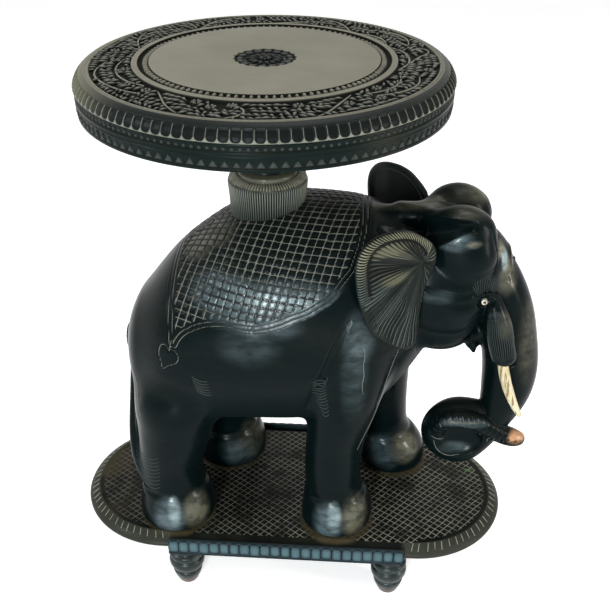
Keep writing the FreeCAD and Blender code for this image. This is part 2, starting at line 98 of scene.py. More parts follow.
class Tree:
    def __init__(self, group):
        self.group = group

    def node(self, kind, settings=None, sockets=None):
        # a new node with its settings and inputs; its first output comes back
        made = self.group.nodes.new(kind)
        for key, value in (settings or {}).items():
            setattr(made, key, value)
        for key, value in (sockets or {}).items():
            socket = made.inputs[key]
            if isinstance(value, Wire):
                self.group.links.new(value.socket, socket)
            elif socket.type == "RGBA":
                socket.default_value = (*value, 1.0)
            else:
                socket.default_value = value
        return Wire(self, made.outputs[0]) if made.outputs else None

    def axes(self, vector):
        split = self.node("ShaderNodeSeparateXYZ", None, {0: vector})
        return [split.out(axis) for axis in "XYZ"]


class Maker(Tree):
    # a Geometry Nodes tree with named inputs, and the pieces it grows
    def __init__(self, name, inputs):
        super().__init__(bpy.data.node_groups.new(name, "GeometryNodeTree"))
        face = self.group.interface
        face.new_socket("Start", in_out="INPUT", socket_type="NodeSocketGeometry")
        for key, (kind, value) in inputs.items():
            made = face.new_socket(key, in_out="INPUT", socket_type="NodeSocket" + kind)
            if value is not None:
                made.default_value = value
        face.new_socket("Finish", in_out="INPUT", socket_type="NodeSocketMaterial")
        face.new_socket("Result", in_out="OUTPUT", socket_type="NodeSocketGeometry")
        self.given = self.node("NodeGroupInput").out

    def own(self, name):
        return self.node("GeometryNodeInputNamedAttribute", {"data_type": "FLOAT"}, {"Name": name})

    def vary(self, seed):
        # a chance share either way, for each unit
        made = self.node("FunctionNodeRandomValue", {"data_type": "FLOAT"}, {2: -1.0, 3: 1.0, 8: seed})
        return made.out(1) * self.given("Vary")

    def placed(self, points, turn, size):
        # the given unit on every point, turned by angles round X, Y and Z
        unit = self.node("GeometryNodeObjectInfo", None, {"Object": self.given("Unit")}).out("Geometry")
        angles = self.node("ShaderNodeCombineXYZ", None, dict(enumerate(turn)))
        rotation = self.node("FunctionNodeEulerToRotation", None, {0: angles})
        return self.node("GeometryNodeInstanceOnPoints", None,
                         {"Points": points, "Instance": unit, "Rotation": rotation, "Scale": size})

    def marked(self, geometry, name, value):
        return self.node("GeometryNodeStoreNamedAttribute", {"data_type": "FLOAT", "domain": "POINT"},
                         {"Geometry": geometry, "Name": name, "Value": value})

    def sunk(self, geometry, depth):
        # every point moved in along its normal
        push = self.node("ShaderNodeVectorMath", {"operation": "SCALE"},
                         {0: self.node("GeometryNodeInputNormal"), "Scale": depth * -1})
        return self.node("GeometryNodeSetPosition", None, {"Geometry": geometry, "Offset": push})

    def close(self, geometry):
        whole = self.node("GeometryNodeRealizeInstances", None, {0: geometry})
        done = self.node("GeometryNodeSetMaterial", None,
                         {"Geometry": whole, "Material": self.given("Finish")})
        self.node("NodeGroupOutput", None, {0: done})
        return self

    def grow(self, name, finish, start=None, **values):
        holder = start or linked(name, bpy.data.meshes.new(name))
        modifier = holder.modifiers.new("maker", "NODES")
        modifier.node_group = self.group
        values["Finish"] = finish
        for item in self.group.interface.items_tree:
            if item.in_out == "INPUT" and item.name in values:
                modifier[item.identifier] = values[item.name]
        graph = bpy.context.evaluated_depsgraph_get()
        mesh = bpy.data.meshes.new_from_object(holder.evaluated_get(graph), preserve_all_data_layers=True,
                                               depsgraph=graph)
        holder.modifiers.clear()
        holder.data = mesh
        holder.name = name
        if "Unit" in values:
            bpy.data.objects.remove(values["Unit"])
        return holder


class Finish(Tree):
    # a material being written
    def __init__(self, name):
        self.material = bpy.data.materials.new(name)
        self.material.use_nodes = True
        super().__init__(self.material.node_tree)
        self.group.nodes.clear()
        self.place = self.node("ShaderNodeTexCoord").out("Object")
        self.x, self.y, self.z = [part * 1000 for part in self.axes(self.place)]

    def own(self, name):
        return self.node("ShaderNodeAttribute", {"attribute_name": name}).out("Fac")

    def up(self):
        return self.axes(self.node("ShaderNodeNewGeometry").out("Normal"))[2]

    def noise(self, scale, detail=3.0, roughness=0.55, stretch=None):
        place = self.place
        if stretch:
            place = self.node("ShaderNodeMapping", None, {"Vector": place, "Scale": stretch})
        return self.node("ShaderNodeTexNoise", None,
                         {"Vector": place, "Scale": scale, "Detail": detail, "Roughness": roughness})

    def mix(self, factor, first, second):
        return self.node("ShaderNodeMix", {"data_type": "RGBA"}, {0: factor, 6: first, 7: second}).out(2)

    def near(self, spots):
        # how near each place is to soft spots: middle and half sizes in mm, and strength
        total = 0
        for middle, size, strength in spots:
            away = (((self.x - (middle[0] + shiftX)) / size[0]) ** 2 + ((self.y - middle[1]) / size[1]) ** 2
                    + ((self.z - middle[2]) / size[2]) ** 2) ** 0.5
            total = away.step(0.35, 1.25, strength, 0.0) + total
        return total

    def relief(self, height, distance, strength):
        return self.node("ShaderNodeBump", None,
                         {"Height": height, "Distance": distance, "Strength": strength})

    def close(self, color, rough, **sockets):
        sockets = {key.replace("_", " "): value for key, value in sockets.items()}
        shader = self.node("ShaderNodeBsdfPrincipled", None,
                           {"Base Color": color, "Roughness": rough, **sockets})
        self.node("ShaderNodeOutputMaterial", None, {"Surface": shader})
        return self.material


def linked(name, data):
    # a new object in the scene
    item = bpy.data.objects.new(name, data)
    bpy.context.scene.collection.objects.link(item)
    return item


def dress(piece, body, finish=None, nodes=()):
    if finish:
        piece.data.materials.clear()
        piece.data.materials.append(finish)
    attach(piece, body)
    if nodes:
        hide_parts(*nodes)
    return piece


def makePiece(name, points, faces=(), marks=None, edges=(), metres=False, sharp=None):
    # a mesh object from places in mm measured from the plinth's centre
    points = np.asarray(points, float)
    if not metres:
        points = (points + (shiftX, 0, 0)) * mm
    mesh = bpy.data.meshes.new(name)
    mesh.from_pydata(points.tolist(), edges, faces)
    if len(faces):
        mesh.validate()
    for key, values in (marks or {}).items():
        mesh.attributes.new(key, "FLOAT", "POINT").data.foreach_set("value",
                                                                    np.asarray(values, dtype=np.float32))
    mesh.shade_smooth()
    if sharp:
        mesh.set_sharp_from_angle(angle=math.radians(sharp))
    return linked(name, mesh)


def bands(rings, sides, turned=False, wrapped=False):
    # the four-sided faces between each ring of points and the next
    faces = []
    for i in range(rings if wrapped else rings - 1):
        a, b = i * sides, (i + 1) % rings * sides
        for j in range(sides):
            k = (j + 1) % sides
            faces.append((a + j, a + k, b + k, b + j) if turned else (a + j, b + j, b + k, a + k))
    return faces


def runAlong(points):
    # how far along a line each of its points lies
    return np.concatenate([[0], np.cumsum(np.linalg.norm(np.diff(points, axis=0), axis=1))])


def smoothTable(places, values, at):
    # natural cubic spline through a table, so that no facet shows in the gloss
    x = np.asarray(places, float)
    y = np.asarray(values, float)
    n = len(x)
    gap = np.diff(x)
    slopes = np.diff(y) / gap
    system = np.eye(n)
    right = np.zeros(n)
    for i in range(1, n - 1):
        system[i, i - 1:i + 2] = gap[i - 1], 2 * (gap[i - 1] + gap[i]), gap[i]
        right[i] = 6 * (slopes[i] - slopes[i - 1])
    bend = np.linalg.solve(system, right)
    t = np.clip(at, x[0], x[-1])
    i = np.clip(np.searchsorted(x, t) - 1, 0, n - 2)
    a = (x[i + 1] - t) / gap[i]
    b = (t - x[i]) / gap[i]
    return a * y[i] + b * y[i + 1] + ((a ** 3 - a) * bend[i] + (b ** 3 - b) * bend[i + 1]) * gap[i] ** 2 / 6


def smoothPath(points, perSpan=6):
    # a smooth line of rows (place and any radius) through the given rows
    rows = np.asarray(points, float)
    at = runAlong(rows[:, :3])
    fine = np.linspace(0, at[-1], perSpan * (len(rows) - 1) + 1)
    return np.stack([smoothTable(at, rows[:, k], fine) for k in range(rows.shape[1])], 1)


class Clay:
    # a block of distances in mm that forms are added to and cut from, then skinned
    far = 60.0

    def __init__(self, low, high, step):
        self.step = step
        self.low = np.array(low, float)
        self.axes = [np.arange(low[k], high[k] + step, step, dtype=np.float32) for k in range(3)]
        self.field = np.full([len(a) for a in self.axes], self.far, np.float32)

    def window(self, low, high):
        cuts = []
        for k in range(3):
            first = int(np.searchsorted(self.axes[k], low[k]))
            last = int(np.searchsorted(self.axes[k], high[k]))
            cuts.append(slice(first, max(last, first)))
        cuts = tuple(cuts)
        empty = any(c.stop <= c.start + 1 for c in cuts)
        return cuts, np.ix_(*[self.axes[k][cuts[k]] for k in range(3)]), empty

    def merge(self, cuts, shape, blend, cutting=False):
        # adds the shape with a rounded seam, or takes it away
        old = self.field[cuts]
        sign = -1 if cutting else 1
        shape = shape * sign
        share = np.clip(0.5 + sign * 0.5 * (old - shape) / blend, 0, 1)
        self.field[cuts] = old * (1 - share) + shape * share - sign * blend * share * (1 - share)

    def ball(self, centre, half, blend, cutting=False, tilt=0.0):
        centre = np.asarray(centre, float)
        reach = max(half) + blend + 4 * self.step
        cuts, (x, y, z), empty = self.window(centre - reach, centre + reach)
        if empty:
            return
        x, y, z = x - centre[0], y - centre[1], z - centre[2]
        if tilt:
            c, s = math.cos(tilt), math.sin(tilt)
            x, z = x * c + z * s, z * c - x * s
        k0 = np.sqrt((x / half[0]) ** 2 + (y / half[1]) ** 2 + (z / half[2]) ** 2)
        k1 = np.sqrt((x / half[0] ** 2) ** 2 + (y / half[1] ** 2) ** 2 + (z / half[2] ** 2) ** 2) + 1e-6
        self.merge(cuts, k0 * (k0 - 1) / k1, blend, cutting)

    def tube(self, rows, blend, cutting=False):
        # round lengths between rows of place and radius
        rows = np.asarray(rows, float)
        margin = blend + 4 * self.step
        widest = rows[:, 3].max() + margin
        cuts, _, empty = self.window(rows[:, :3].min(0) - widest, rows[:, :3].max(0) + widest)
        if empty:
            return
        shape = np.full([c.stop - c.start for c in cuts], self.far, np.float32)
        for a, b in zip(rows[:-1], rows[1:]):
            reach = max(a[3], b[3]) + margin
            part, (x, y, z), none = self.window(np.minimum(a, b)[:3] - reach, np.maximum(a, b)[:3] + reach)
            if none:
                continue
            along = b[:3] - a[:3]
            share = ((x - a[0]) * along[0] + (y - a[1]) * along[1] + (z - a[2]) * along[2]) / (along @ along)
            share = np.clip(share, 0, 1)
            away = np.sqrt((x - a[0] - share * along[0]) ** 2 + (y - a[1] - share * along[1]) ** 2
                           + (z - a[2] - share * along[2]) ** 2) - (a[3] + share * (b[3] - a[3]))
            inner = tuple(slice(p.start - c.start, p.stop - c.start) for p, c in zip(part, cuts))
            shape[inner] = np.minimum(shape[inner], away)
        self.merge(cuts, shape, blend, cutting)

    def crease(self, points, radius, blend):
        # a carved line whose middle runs near the surface; its ends fade out
        rows = smoothPath([(*p, radius) for p in points])
        rows[:, :3] = self.onto(rows[:, :3])
        fade = np.sin(np.linspace(0, math.pi, len(rows))) ** 0.5
        rows[:, 3] = radius * (0.15 + 0.85 * fade)
        self.tube(rows, blend, True)

    def lengthwise(self, table, startX, length, base, height, width, power, blend, noses=(0, 0), below=None):
        # oval sections along X, from shares of the form's sizes; a nose rounds an end
        table = np.asarray(table)
        places = startX + table[:, 0] * length
        low = (places[0] - noses[0] - 8, -width / 2 - 20, base - 20)
        high = (places[-1] + noses[1] + 8, width / 2 + 20, base + height + 20)
        cuts, (x, y, z), empty = self.window(low, high)
        if empty:
            return
        line = x.ravel().astype(float)
        under = smoothTable(places, base + table[:, 1] * height, line)
        over = smoothTable(places, base + table[:, 2] * height, line)
        half = smoothTable(places, table[:, 3] * width / 2, line)
        before = np.clip((places[0] - line) / max(noses[0], 1e-3), 0, 1)
        after = np.clip((line - places[-1]) / max(noses[1], 1e-3), 0, 1)
        close = np.sqrt(np.clip(1 - np.maximum(before, after) ** 2, 0, 1)) + 1e-3
        middle = ((under + over) / 2)[:, None, None]
        up = ((over - under) / 2 * close)[:, None, None]
        side = (half * close)[:, None, None]
        z = z - middle
        power = np.where(z < 0, below or power, power)
        ratio = (np.abs(y / side) ** power + np.abs(z / up) ** power) ** (1 / power)
        shape = np.hypot(y, z) * (1 - 1 / np.maximum(ratio, 0.05))
        shape = np.maximum(shape, -self.far)
        gx, gy, gz = np.gradient(shape, self.step)
        shape = shape / np.clip(np.sqrt(gx * gx + gy * gy + gz * gz), 0.8, 6.0)
        self.merge(cuts, shape.astype(np.float32), blend)

    def sample(self, points):
        share = (points - self.low) / self.step
        limit = np.array(self.field.shape) - 2
        cell = np.clip(np.floor(share).astype(int), 0, limit)
        part = share - cell
        total = 0
        for i in (0, 1):
            for j in (0, 1):
                for k in (0, 1):
                    weight = ((part[:, 0] if i else 1 - part[:, 0]) * (part[:, 1] if j else 1 - part[:, 1])
                              * (part[:, 2] if k else 1 - part[:, 2]))
                    total = total + weight * self.field[cell[:, 0] + i, cell[:, 1] + j, cell[:, 2] + k]
        return total

    def slope(self, points):
        shift = self.step * 0.75
        parts = []
        for k in range(3):
            move = np.zeros(3)
            move[k] = shift
            parts.append((self.sample(points + move) - self.sample(points - move)) / (2 * shift))
        return np.stack(parts, 1)

    def onto(self, points, lift=0.0):
        # the nearest places on the surface, and a little off it
        points = np.array(points, float)
        for _ in range(6):
            slope = self.slope(points)
            steep = np.maximum((slope ** 2).sum(1), 0.2)
            points = points - np.clip(self.sample(points) / steep, -6, 6)[:, None] * slope
        slope = self.slope(points)
        return points + lift * slope / np.maximum(np.linalg.norm(slope, axis=1), 0.1)[:, None]

    def skin(self):
        field = self.field
        inside = field < 0
        corners = np.array([(i, j, k) for i in (0, 1) for j in (0, 1) for k in (0, 1)])
        size = np.array(field.shape) - 1
        count = np.zeros(size, np.int8)
        for i, j, k in corners:
            count += inside[i:size[0] + i, j:size[1] + j, k:size[2] + k]
        active = (count > 0) & (count < 8)
        number = np.full(size, -1, np.int32)
        cells = np.argwhere(active)
        number[active] = np.arange(len(cells))
        value = np.stack([field[tuple((cells + c).T)] for c in corners], 1)
        total = np.zeros((len(cells), 3))
        hits = np.zeros(len(cells))
        for a in range(8):
            for b in range(a + 1, 8):
                if np.abs(corners[a] - corners[b]).sum() != 1:
                    continue
                crossed = (value[:, a] < 0) != (value[:, b] < 0)
                spread = np.where(crossed, value[:, a] - value[:, b], 1.0)
                share = np.where(crossed, value[:, a] / spread, 0.0)
                total += np.where(crossed[:, None], corners[a] + share[:, None] * (corners[b] - corners[a]),
                                  0.0)
                hits += crossed
        points = self.low + self.step * (cells + total / hits[:, None])
        for _ in range(2):
            slope = self.slope(points)
            steep = np.maximum((slope ** 2).sum(1), 0.15)
            move = -(self.sample(points) / steep)[:, None] * slope
            points = points + np.clip(move, -self.step * 0.4, self.step * 0.4)
        faces = []
        for axis in range(3):
            j, k = (axis + 1) % 3, (axis + 2) % 3
            here = [slice(1, None)] * 3
            here[axis] = slice(0, -1)
            there = [slice(1, None)] * 3
            there[axis] = slice(1, None)
            a, b = inside[tuple(here)], inside[tuple(there)]
            spots = np.argwhere(a != b)
            solidFirst = a[tuple(spots.T)]
            spots[:, j] += 1
            spots[:, k] += 1
            ok = (spots[:, j] < size[j]) & (spots[:, k] < size[k])
            spots, solidFirst = spots[ok], solidFirst[ok]
            around = []
            for dj, dk in ((-1, -1), (0, -1), (0, 0), (-1, 0)):
                beside = spots.copy()
                beside[:, j] += dj
                beside[:, k] += dk
                around.append(number[tuple(beside.T)])
            quad = np.stack(around, 1)
            quad[~solidFirst] = quad[~solidFirst][:, ::-1]
            faces.append(quad)
        return points, np.concatenate(faces)


def eased(line, radius=0.8):
    # a section with its inner corners rounded over; rows are (across, up)
    line = [np.array(p, float) for p in line]
    out = [line[0]]
    for before, corner, after in zip(line[:-2], line[1:-1], line[2:]):
        a, b = before - corner, after - corner
        first, last = np.linalg.norm(a), np.linalg.norm(b)
        cut = min(radius, first * 0.45, last * 0.45)
        start, end = corner + a / first * cut, corner + b / last * cut
        for t in (0, 0.5, 1):
            out.append((1 - t) ** 2 * start + 2 * t * (1 - t) * corner + t * t * end)
    out.append(line[-1])
    return np.array(out)


def divided(line, gap):
    # the same section with points no further apart than the gap
    out = [line[0]]
    for a, b in zip(line[:-1], line[1:]):
        count = max(1, int(math.ceil(np.linalg.norm(b - a) / gap)))
        out += [a + (b - a) * k / count for k in range(1, count + 1)]
    return np.array(out)


def turnedForm(name, line, sides, axis, marked=False):
    # a section turned round an upright axis; it starts and may end on the axis
    line = np.asarray(line, float)
    turn = np.arange(sides) * 2 * math.pi / sides
    closedTop, closedEnd = line[0, 0] < 1e-6, line[-1, 0] < 1e-6
    rings = line[(1 if closedTop else 0):(len(line) - 1 if closedEnd else len(line))]
    grid = np.stack([axis[0] + rings[:, :1] * np.cos(turn), axis[1] + rings[:, :1] * np.sin(turn),
                     rings[:, 1:] + 0 * turn], 2)
    points = list(grid.reshape(-1, 3))
    count = len(rings)
    faces = bands(count, sides, wrapped=not (closedTop or closedEnd))
    if closedTop:
        points.append((axis[0], axis[1], line[0, 1]))
        faces += [(len(points) - 1, j, (j + 1) % sides) for j in range(sides)]
    if closedEnd:
        points.append((axis[0], axis[1], line[-1, 1]))
        last = (count - 1) * sides
        faces += [(len(points) - 1, last + (j + 1) % sides, last + j) for j in range(sides)]
    marks = {}
    if marked:
        ends = len(points) - count * sides
        marks = {"around": np.concatenate([np.tile(turn, count), np.zeros(ends)]),
                 "down": np.concatenate([np.repeat(runAlong(rings), sides), np.full(ends, -50.0)])}
    return makePiece(name, points, faces, marks, sharp=32)


def unitObject(name, points, faces, marks=None):
    # one small shape for a tree to repeat; it is taken away once the repeats are made
    return makePiece(name, np.asarray(points, float) * mm, faces, marks, metres=True)


def lobe(name, length, width, height, tip=0.5, sides=8, rings=2, groove=0.0, square=1.0, upright=False):
    # a leaf, petal or bead lying flat: its root at 0, its tip along X, its back below 0
    sink = 0.8
    points, high = [], []
    for ring in range(rings + 1):
        share = 1 - ring / (rings + 0.6)
        rise = -sink if ring == 0 else height * math.sqrt(1 - (1 - (ring - 0.5) / rings) ** 2)
        for k in range(sides):
            a = 2 * math.pi * (k + 0.5) / sides
            c, s = [math.copysign(abs(v) ** square, v) for v in (math.cos(a), math.sin(a))]
            x = length * (0.5 + 0.5 * c * share)
            y = width / 2 * s * share * (1 - tip * (0.5 + 0.5 * c)) * (1 + 0.35 * tip)
            dip = groove * math.exp(-(y / (0.16 * width)) ** 2) if ring else 0
            points.append((x, y, rise - dip))
            high.append(max(0.0, rise - dip) / height)
    points += [(length / 2, 0, height - groove), (length / 2, 0, -sink)]
    high += [1.0 - groove / height, 0.0]
    last = rings * sides
    faces = bands(rings + 1, sides, True)
    faces += [(last + k, last + (k + 1) % sides, len(points) - 2) for k in range(sides)]
    faces += [((k + 1) % sides, k, len(points) - 1) for k in range(sides)]
    if upright:
        points = [(z, y, -x) for x, y, z in points]
    return unitObject(name, points, faces, {"high": high})


def bar(name, length, width, height, ends):
    # a straight ridge with sloping sides and ends, lying along X
    sink = 0.8
    points = []
    for inset, half, z in ((0, width / 2, -sink), (0, width / 2, 0), (ends, width * 0.175, height)):
        points += [(inset, -half, z), (length - inset, -half, z), (length - inset, half, z), (inset, half, z)]
    faces = [(3, 2, 1, 0), (8, 9, 10, 11)] + bands(3, 4, True)
    return unitObject(name, points, faces, {"high": [0] * 4 + [0.3] * 4 + [1] * 4})


def wedge(name, width, tall, height):
    # an upright triangle with its point at the top, facing along X
    sink = 0.6
    w = width / 2
    outer = [(-w, 0), (w, 0), (0, tall)]
    inner = [(-w * 0.45, tall * 0.2), (w * 0.45, tall * 0.2), (0, tall * 0.72)]
    points = [(-sink, y, z) for y, z in outer] + [(height * 0.15, y, z) for y, z in outer]
    points += [(height, y, z) for y, z in inner]
    faces = [(2, 1, 0), (6, 7, 8)] + bands(3, 3, True)
    return unitObject(name, points, faces, {"high": [0] * 3 + [0.4] * 3 + [1] * 3})


def ringMaker():
    t = Maker("ring of units", {"Unit": ("Object", None), "Count": ("Int", 24), "Radius": ("Float", 0.1),
                                "Middle": ("Vector", None), "Lean": ("Float", 0.0), "Vary": ("Float", 0.0),
                                "Seed": ("Int", 1)})
    circle = t.node("GeometryNodeMeshCircle", None,
                    {"Vertices": t.given("Count"), "Radius": t.given("Radius")})
    x, y, _ = t.axes(t.node("GeometryNodeInputPosition"))
    seed = t.given("Seed")
    ring = t.placed(circle, (0.0, t.given("Lean") + t.vary(seed + 5), y.calc("ARCTAN2", x)), 1 + t.vary(seed))
    return t.close(t.node("GeometryNodeTransform", None,
                          {"Geometry": ring, "Translation": t.given("Middle")}))


def rowMaker():
    t = Maker("row of units", {"Unit": ("Object", None), "Count": ("Int", 24), "First": ("Vector", None),
                               "Step": ("Vector", None), "Turn": ("Float", 0.0), "Vary": ("Float", 0.0),
                               "Seed": ("Int", 1)})
    line = t.node("GeometryNodeMeshLine", {"mode": "OFFSET"},
                  {"Count": t.given("Count"), "Start Location": t.given("First"), "Offset": t.given("Step")})
    seed = t.given("Seed")
    size = t.node("ShaderNodeCombineXYZ", None, {0: 1.0, 1: 1 + t.vary(seed), 2: 1 + t.vary(seed + 3)})
    return t.close(t.placed(line, (0.0, 0.0, t.given("Turn")), size))


def scatterMaker():
    t = Maker("units on points", {"Unit": ("Object", None)})
    return t.close(t.placed(t.given("Start"), (0.0, t.own("lean"), t.own("turn")), t.own("grow")))


def strandMaker():
    t = Maker("strands along lines", {"Thickness": ("Float", 0.001), "Sides": ("Int", 6)})
    line = t.node("GeometryNodeMeshToCurve", None, {0: t.given("Start")})
    section = t.node("GeometryNodeCurvePrimitiveCircle", {"mode": "RADIUS"},
                     {"Resolution": t.given("Sides"), "Radius": t.given("Thickness")})
    tube = t.node("GeometryNodeCurveToMesh", None,
                  {"Curve": line, "Profile Curve": section, "Fill Caps": True, "Scale": t.own("thick")})
    return t.close(t.node("GeometryNodeSetShadeSmooth", None, {"Geometry": tube}))


def tongueMaker():
    # tongues sunk into an edge between thin ridges, each with a rounded lower end
    t = Maker("tongues round an edge", {"Count": ("Int", 114), "Depth": ("Float", 0.0016),
                                        "Radius": ("Float", 0.19), "First": ("Float", 5.0),
                                        "Last": ("Float", 17.0), "Ridge": ("Float", 1.0),
                                        "Soft": ("Float", 1.0)})
    share = t.own("around") * t.given("Count") / (2 * math.pi)
    pitch = t.given("Radius") * (2 * math.pi * 1000) / t.given("Count")
    across = abs(share - share.calc("ROUND")) * pitch
    half = pitch * 0.5 - t.given("Ridge") * 0.5
    down, first, last = t.own("down"), t.given("First"), t.given("Last")
    below = (down - (last - half)).calc("MAXIMUM", 0.0)
    away = (across * across + below * below) ** 0.5 - half
    sunk = (away * -1).step(0.0, t.given("Soft"))
    gate = down.step(first, first + 3.0) * down.step(last + 0.8, last + 1.8, 1.0, 0.0)
    deep = sunk * gate
    marked = t.marked(t.marked(t.given("Start"), "deep", deep), "crest", (1 - sunk) * gate)
    return t.close(t.sunk(marked, deep * t.given("Depth")))


ringUnits = ringMaker()
rowUnits = rowMaker()
scatterUnits = scatterMaker()
strands = strandMaker()
tongues = tongueMaker()


# The elephant, in the carver's own order: trunk of the body, legs, head, trunk, then its lines
elephant = {
    "bodyStep": 2.5,         # mm between the points of the body's skin
    "headStep": 1.6,
    "coilStep": 1.0,
    "coilCut": 243.0,        # mm above the floor, where the skins of head and coil meet
    "overlap": 5.0,          # mm that two skins run on inside each other
    "legHeight": 190.0,
    "legOut": 60,            # mm from the middle of a leg to the middle of the body
    "coilMiddle": (205, 190),
    "neckLow": 137.0,        # mm above the floor, where the head's skin can begin
}

torsoTable = [
    (0.0, 0.3, 0.42, 0.15), (0.02, 0.2, 0.5, 0.4), (0.07, 0.1, 0.605, 0.66), (0.153, 0.06, 0.728, 0.86),
    (0.264, 0.04, 0.85, 0.965), (0.403, 0.041, 0.955, 1.0), (0.542, 0.045, 0.988, 1.0),
    (0.681, 0.062, 0.985, 0.95), (0.806, 0.106, 0.96, 0.8), (0.903, 0.23, 0.89, 0.56),
    (0.98, 0.38, 0.82, 0.35)]
headTable = [
    (0.0, 0.3, 0.86, 0.62), (0.16, 0.11, 0.93, 0.9), (0.4, 0.03, 0.96, 1.0), (0.6, 0.06, 0.97, 0.96),
    (0.78, 0.22, 0.95, 0.8), (0.91, 0.43, 0.9, 0.56), (1.0, 0.62, 0.82, 0.24)]
trunkLine = [
    (198, 0, 430, 25.5), (216, 0, 408, 29.5), (231, 0, 382, 31), (243, 0, 352, 31.5), (251, 0, 316, 32),
    (256, 0, 282, 32), (255.5, -2, 252, 30), (251, -6, 231, 25.5), (243, -10, 210, 21),
    (234, -13, 191, 18.5), (222, -15, 173, 17), (206, -16, 161, 16.5), (189, -16, 164.5, 16),
    (177, -16, 177, 16), (174, -16, 193, 16), (181, -16, 209, 16), (195, -16, 219, 16), (212, -15, 220, 15),
    (229, -12, 216, 14)]
whorlLine = [
    (182, -19, 176, 4), (175.5, -23, 190, 7.5), (179, -26, 207, 9.2), (192, -28.5, 218, 10.0),
    (208, -29, 218.5, 10.2), (224, -28.5, 212, 10.4), (239, -27, 203, 10.6), (251, -25.5, 195, 11.4),
    (262, -24, 190, 11.6), (269, -24, 188, 10.4), (272.5, -24, 187.5, 9.0)]
hindLeg = [
    (0.0, 0.0, 0.0, 1.0), (0.11, 0.02, 0.0, 1.01), (0.21, 0.0, 0.0, 0.93), (0.3, -0.05, 0.0, 0.86),
    (0.42, -0.06, 0.0, 0.85), (0.58, 0.04, 0.0, 0.93), (0.76, 0.16, -0.04, 1.05), (0.93, 0.27, -0.12, 1.16),
    (1.15, 0.5, -0.34, 1.02), (1.33, 0.66, -0.52, 0.84)]
rightFrontLeg = [
    (0.0, 0.0, 0.0, 1.0), (0.11, 0.02, 0.0, 1.0), (0.21, 0.0, 0.0, 0.92), (0.3, -0.09, 0.0, 0.83),
    (0.42, -0.12, 0.0, 0.81), (0.6, -0.09, 0.0, 0.82), (0.84, 0.08, 0.0, 0.92), (1.07, 0.26, -0.06, 1.0),
    (1.33, 0.38, -0.22, 0.96)]
leftFrontLeg = [
    (0.0, 0.0, 0.0, 1.0), (0.11, 0.0, 0.0, 0.99), (0.21, -0.1, 0.0, 0.9), (0.3, -0.28, 0.0, 0.8),
    (0.42, -0.38, 0.0, 0.78), (0.6, -0.42, 0.0, 0.8), (0.84, -0.48, 0.0, 0.88), (1.07, -0.6, -0.06, 0.96),
    (1.33, -0.8, -0.22, 0.96)]
tailLine = [
    (-164, 0, 320, 9.5), (-178.2, -6.2, 293.7, 9.5), (-184.9, -14, 256.1, 8.4), (-187.2, -26.5, 216.6, 8),
    (-184.1, -43.7, 182.8, 10.4), (-173.5, -62.4, 156.4, 12.7), (-164, -74.9, 139.5, 10)]


sheathLine = [(222, 38, 387, 9), (226, 41.5, 372, 13), (232, 43, 352, 15), (236, 43.5, 334, 14.5),
              (240, 43.5, 320, 14)]

# each leg: its table, place along X, side and radius
legs = ((hindLeg, -138, -1, 44), (hindLeg, -88, 1, 44), (rightFrontLeg, 58, -1, 41),
        (leftFrontLeg, 127, 1, 41))


def leg(clay, table, x, side, radius):
    # round sections up from the plinth: rows of height, forward and outward shift and girth, as shares
    rows = np.asarray(table)
    places = plinthTop + rows[:, 0] * elephant["legHeight"]
    low = (x - 2.2 * radius, -130, plinthTop - 6)
    high = (x + 2.2 * radius, 130, places[-1] + 10)
    cuts, (gx, gy, gz), empty = clay.window(low, high)
    if empty:
        return
    line = gz.ravel().astype(float)
    middleX = x + smoothTable(places, rows[:, 1] * radius, line)
    middleY = side * (elephant["legOut"] + smoothTable(places, rows[:, 2] * radius, line))
    girth = smoothTable(places, rows[:, 3] * radius, line)
    # the hoof is a smooth dome under a crisp step at the ankle
    hoofTop = plinthTop + 50
    above = line - hoofTop
    girth = girth + 1.6 / (1 + np.exp(above / 0.9)) - 1.2 * np.exp(-((above - 3) / 3.0) ** 2)
    girth = girth - 7.0 * np.clip((plinthTop + 9 - line) / 9, 0, 1) ** 2
    shape = np.hypot(gx - middleX, gy - middleY) - girth
    shape = np.maximum(shape, plinthTop - gz)
    shape = np.maximum(shape, gz - places[-1])
    clay.merge(cuts, shape.astype(np.float32), 12.0)


def whorl():
    # the ringed stretch, and how far along it each of its places is
    path = smoothPath(whorlLine, 24)
    return path, runAlong(path[:, :3])


def onCoil(angle, radius, y):
    # a place beside the coil, by degrees round its middle and mm from it
    a = math.radians(angle)
    x, z = elephant["coilMiddle"]
    return (x + radius * math.cos(a), y, z + radius * math.sin(a))


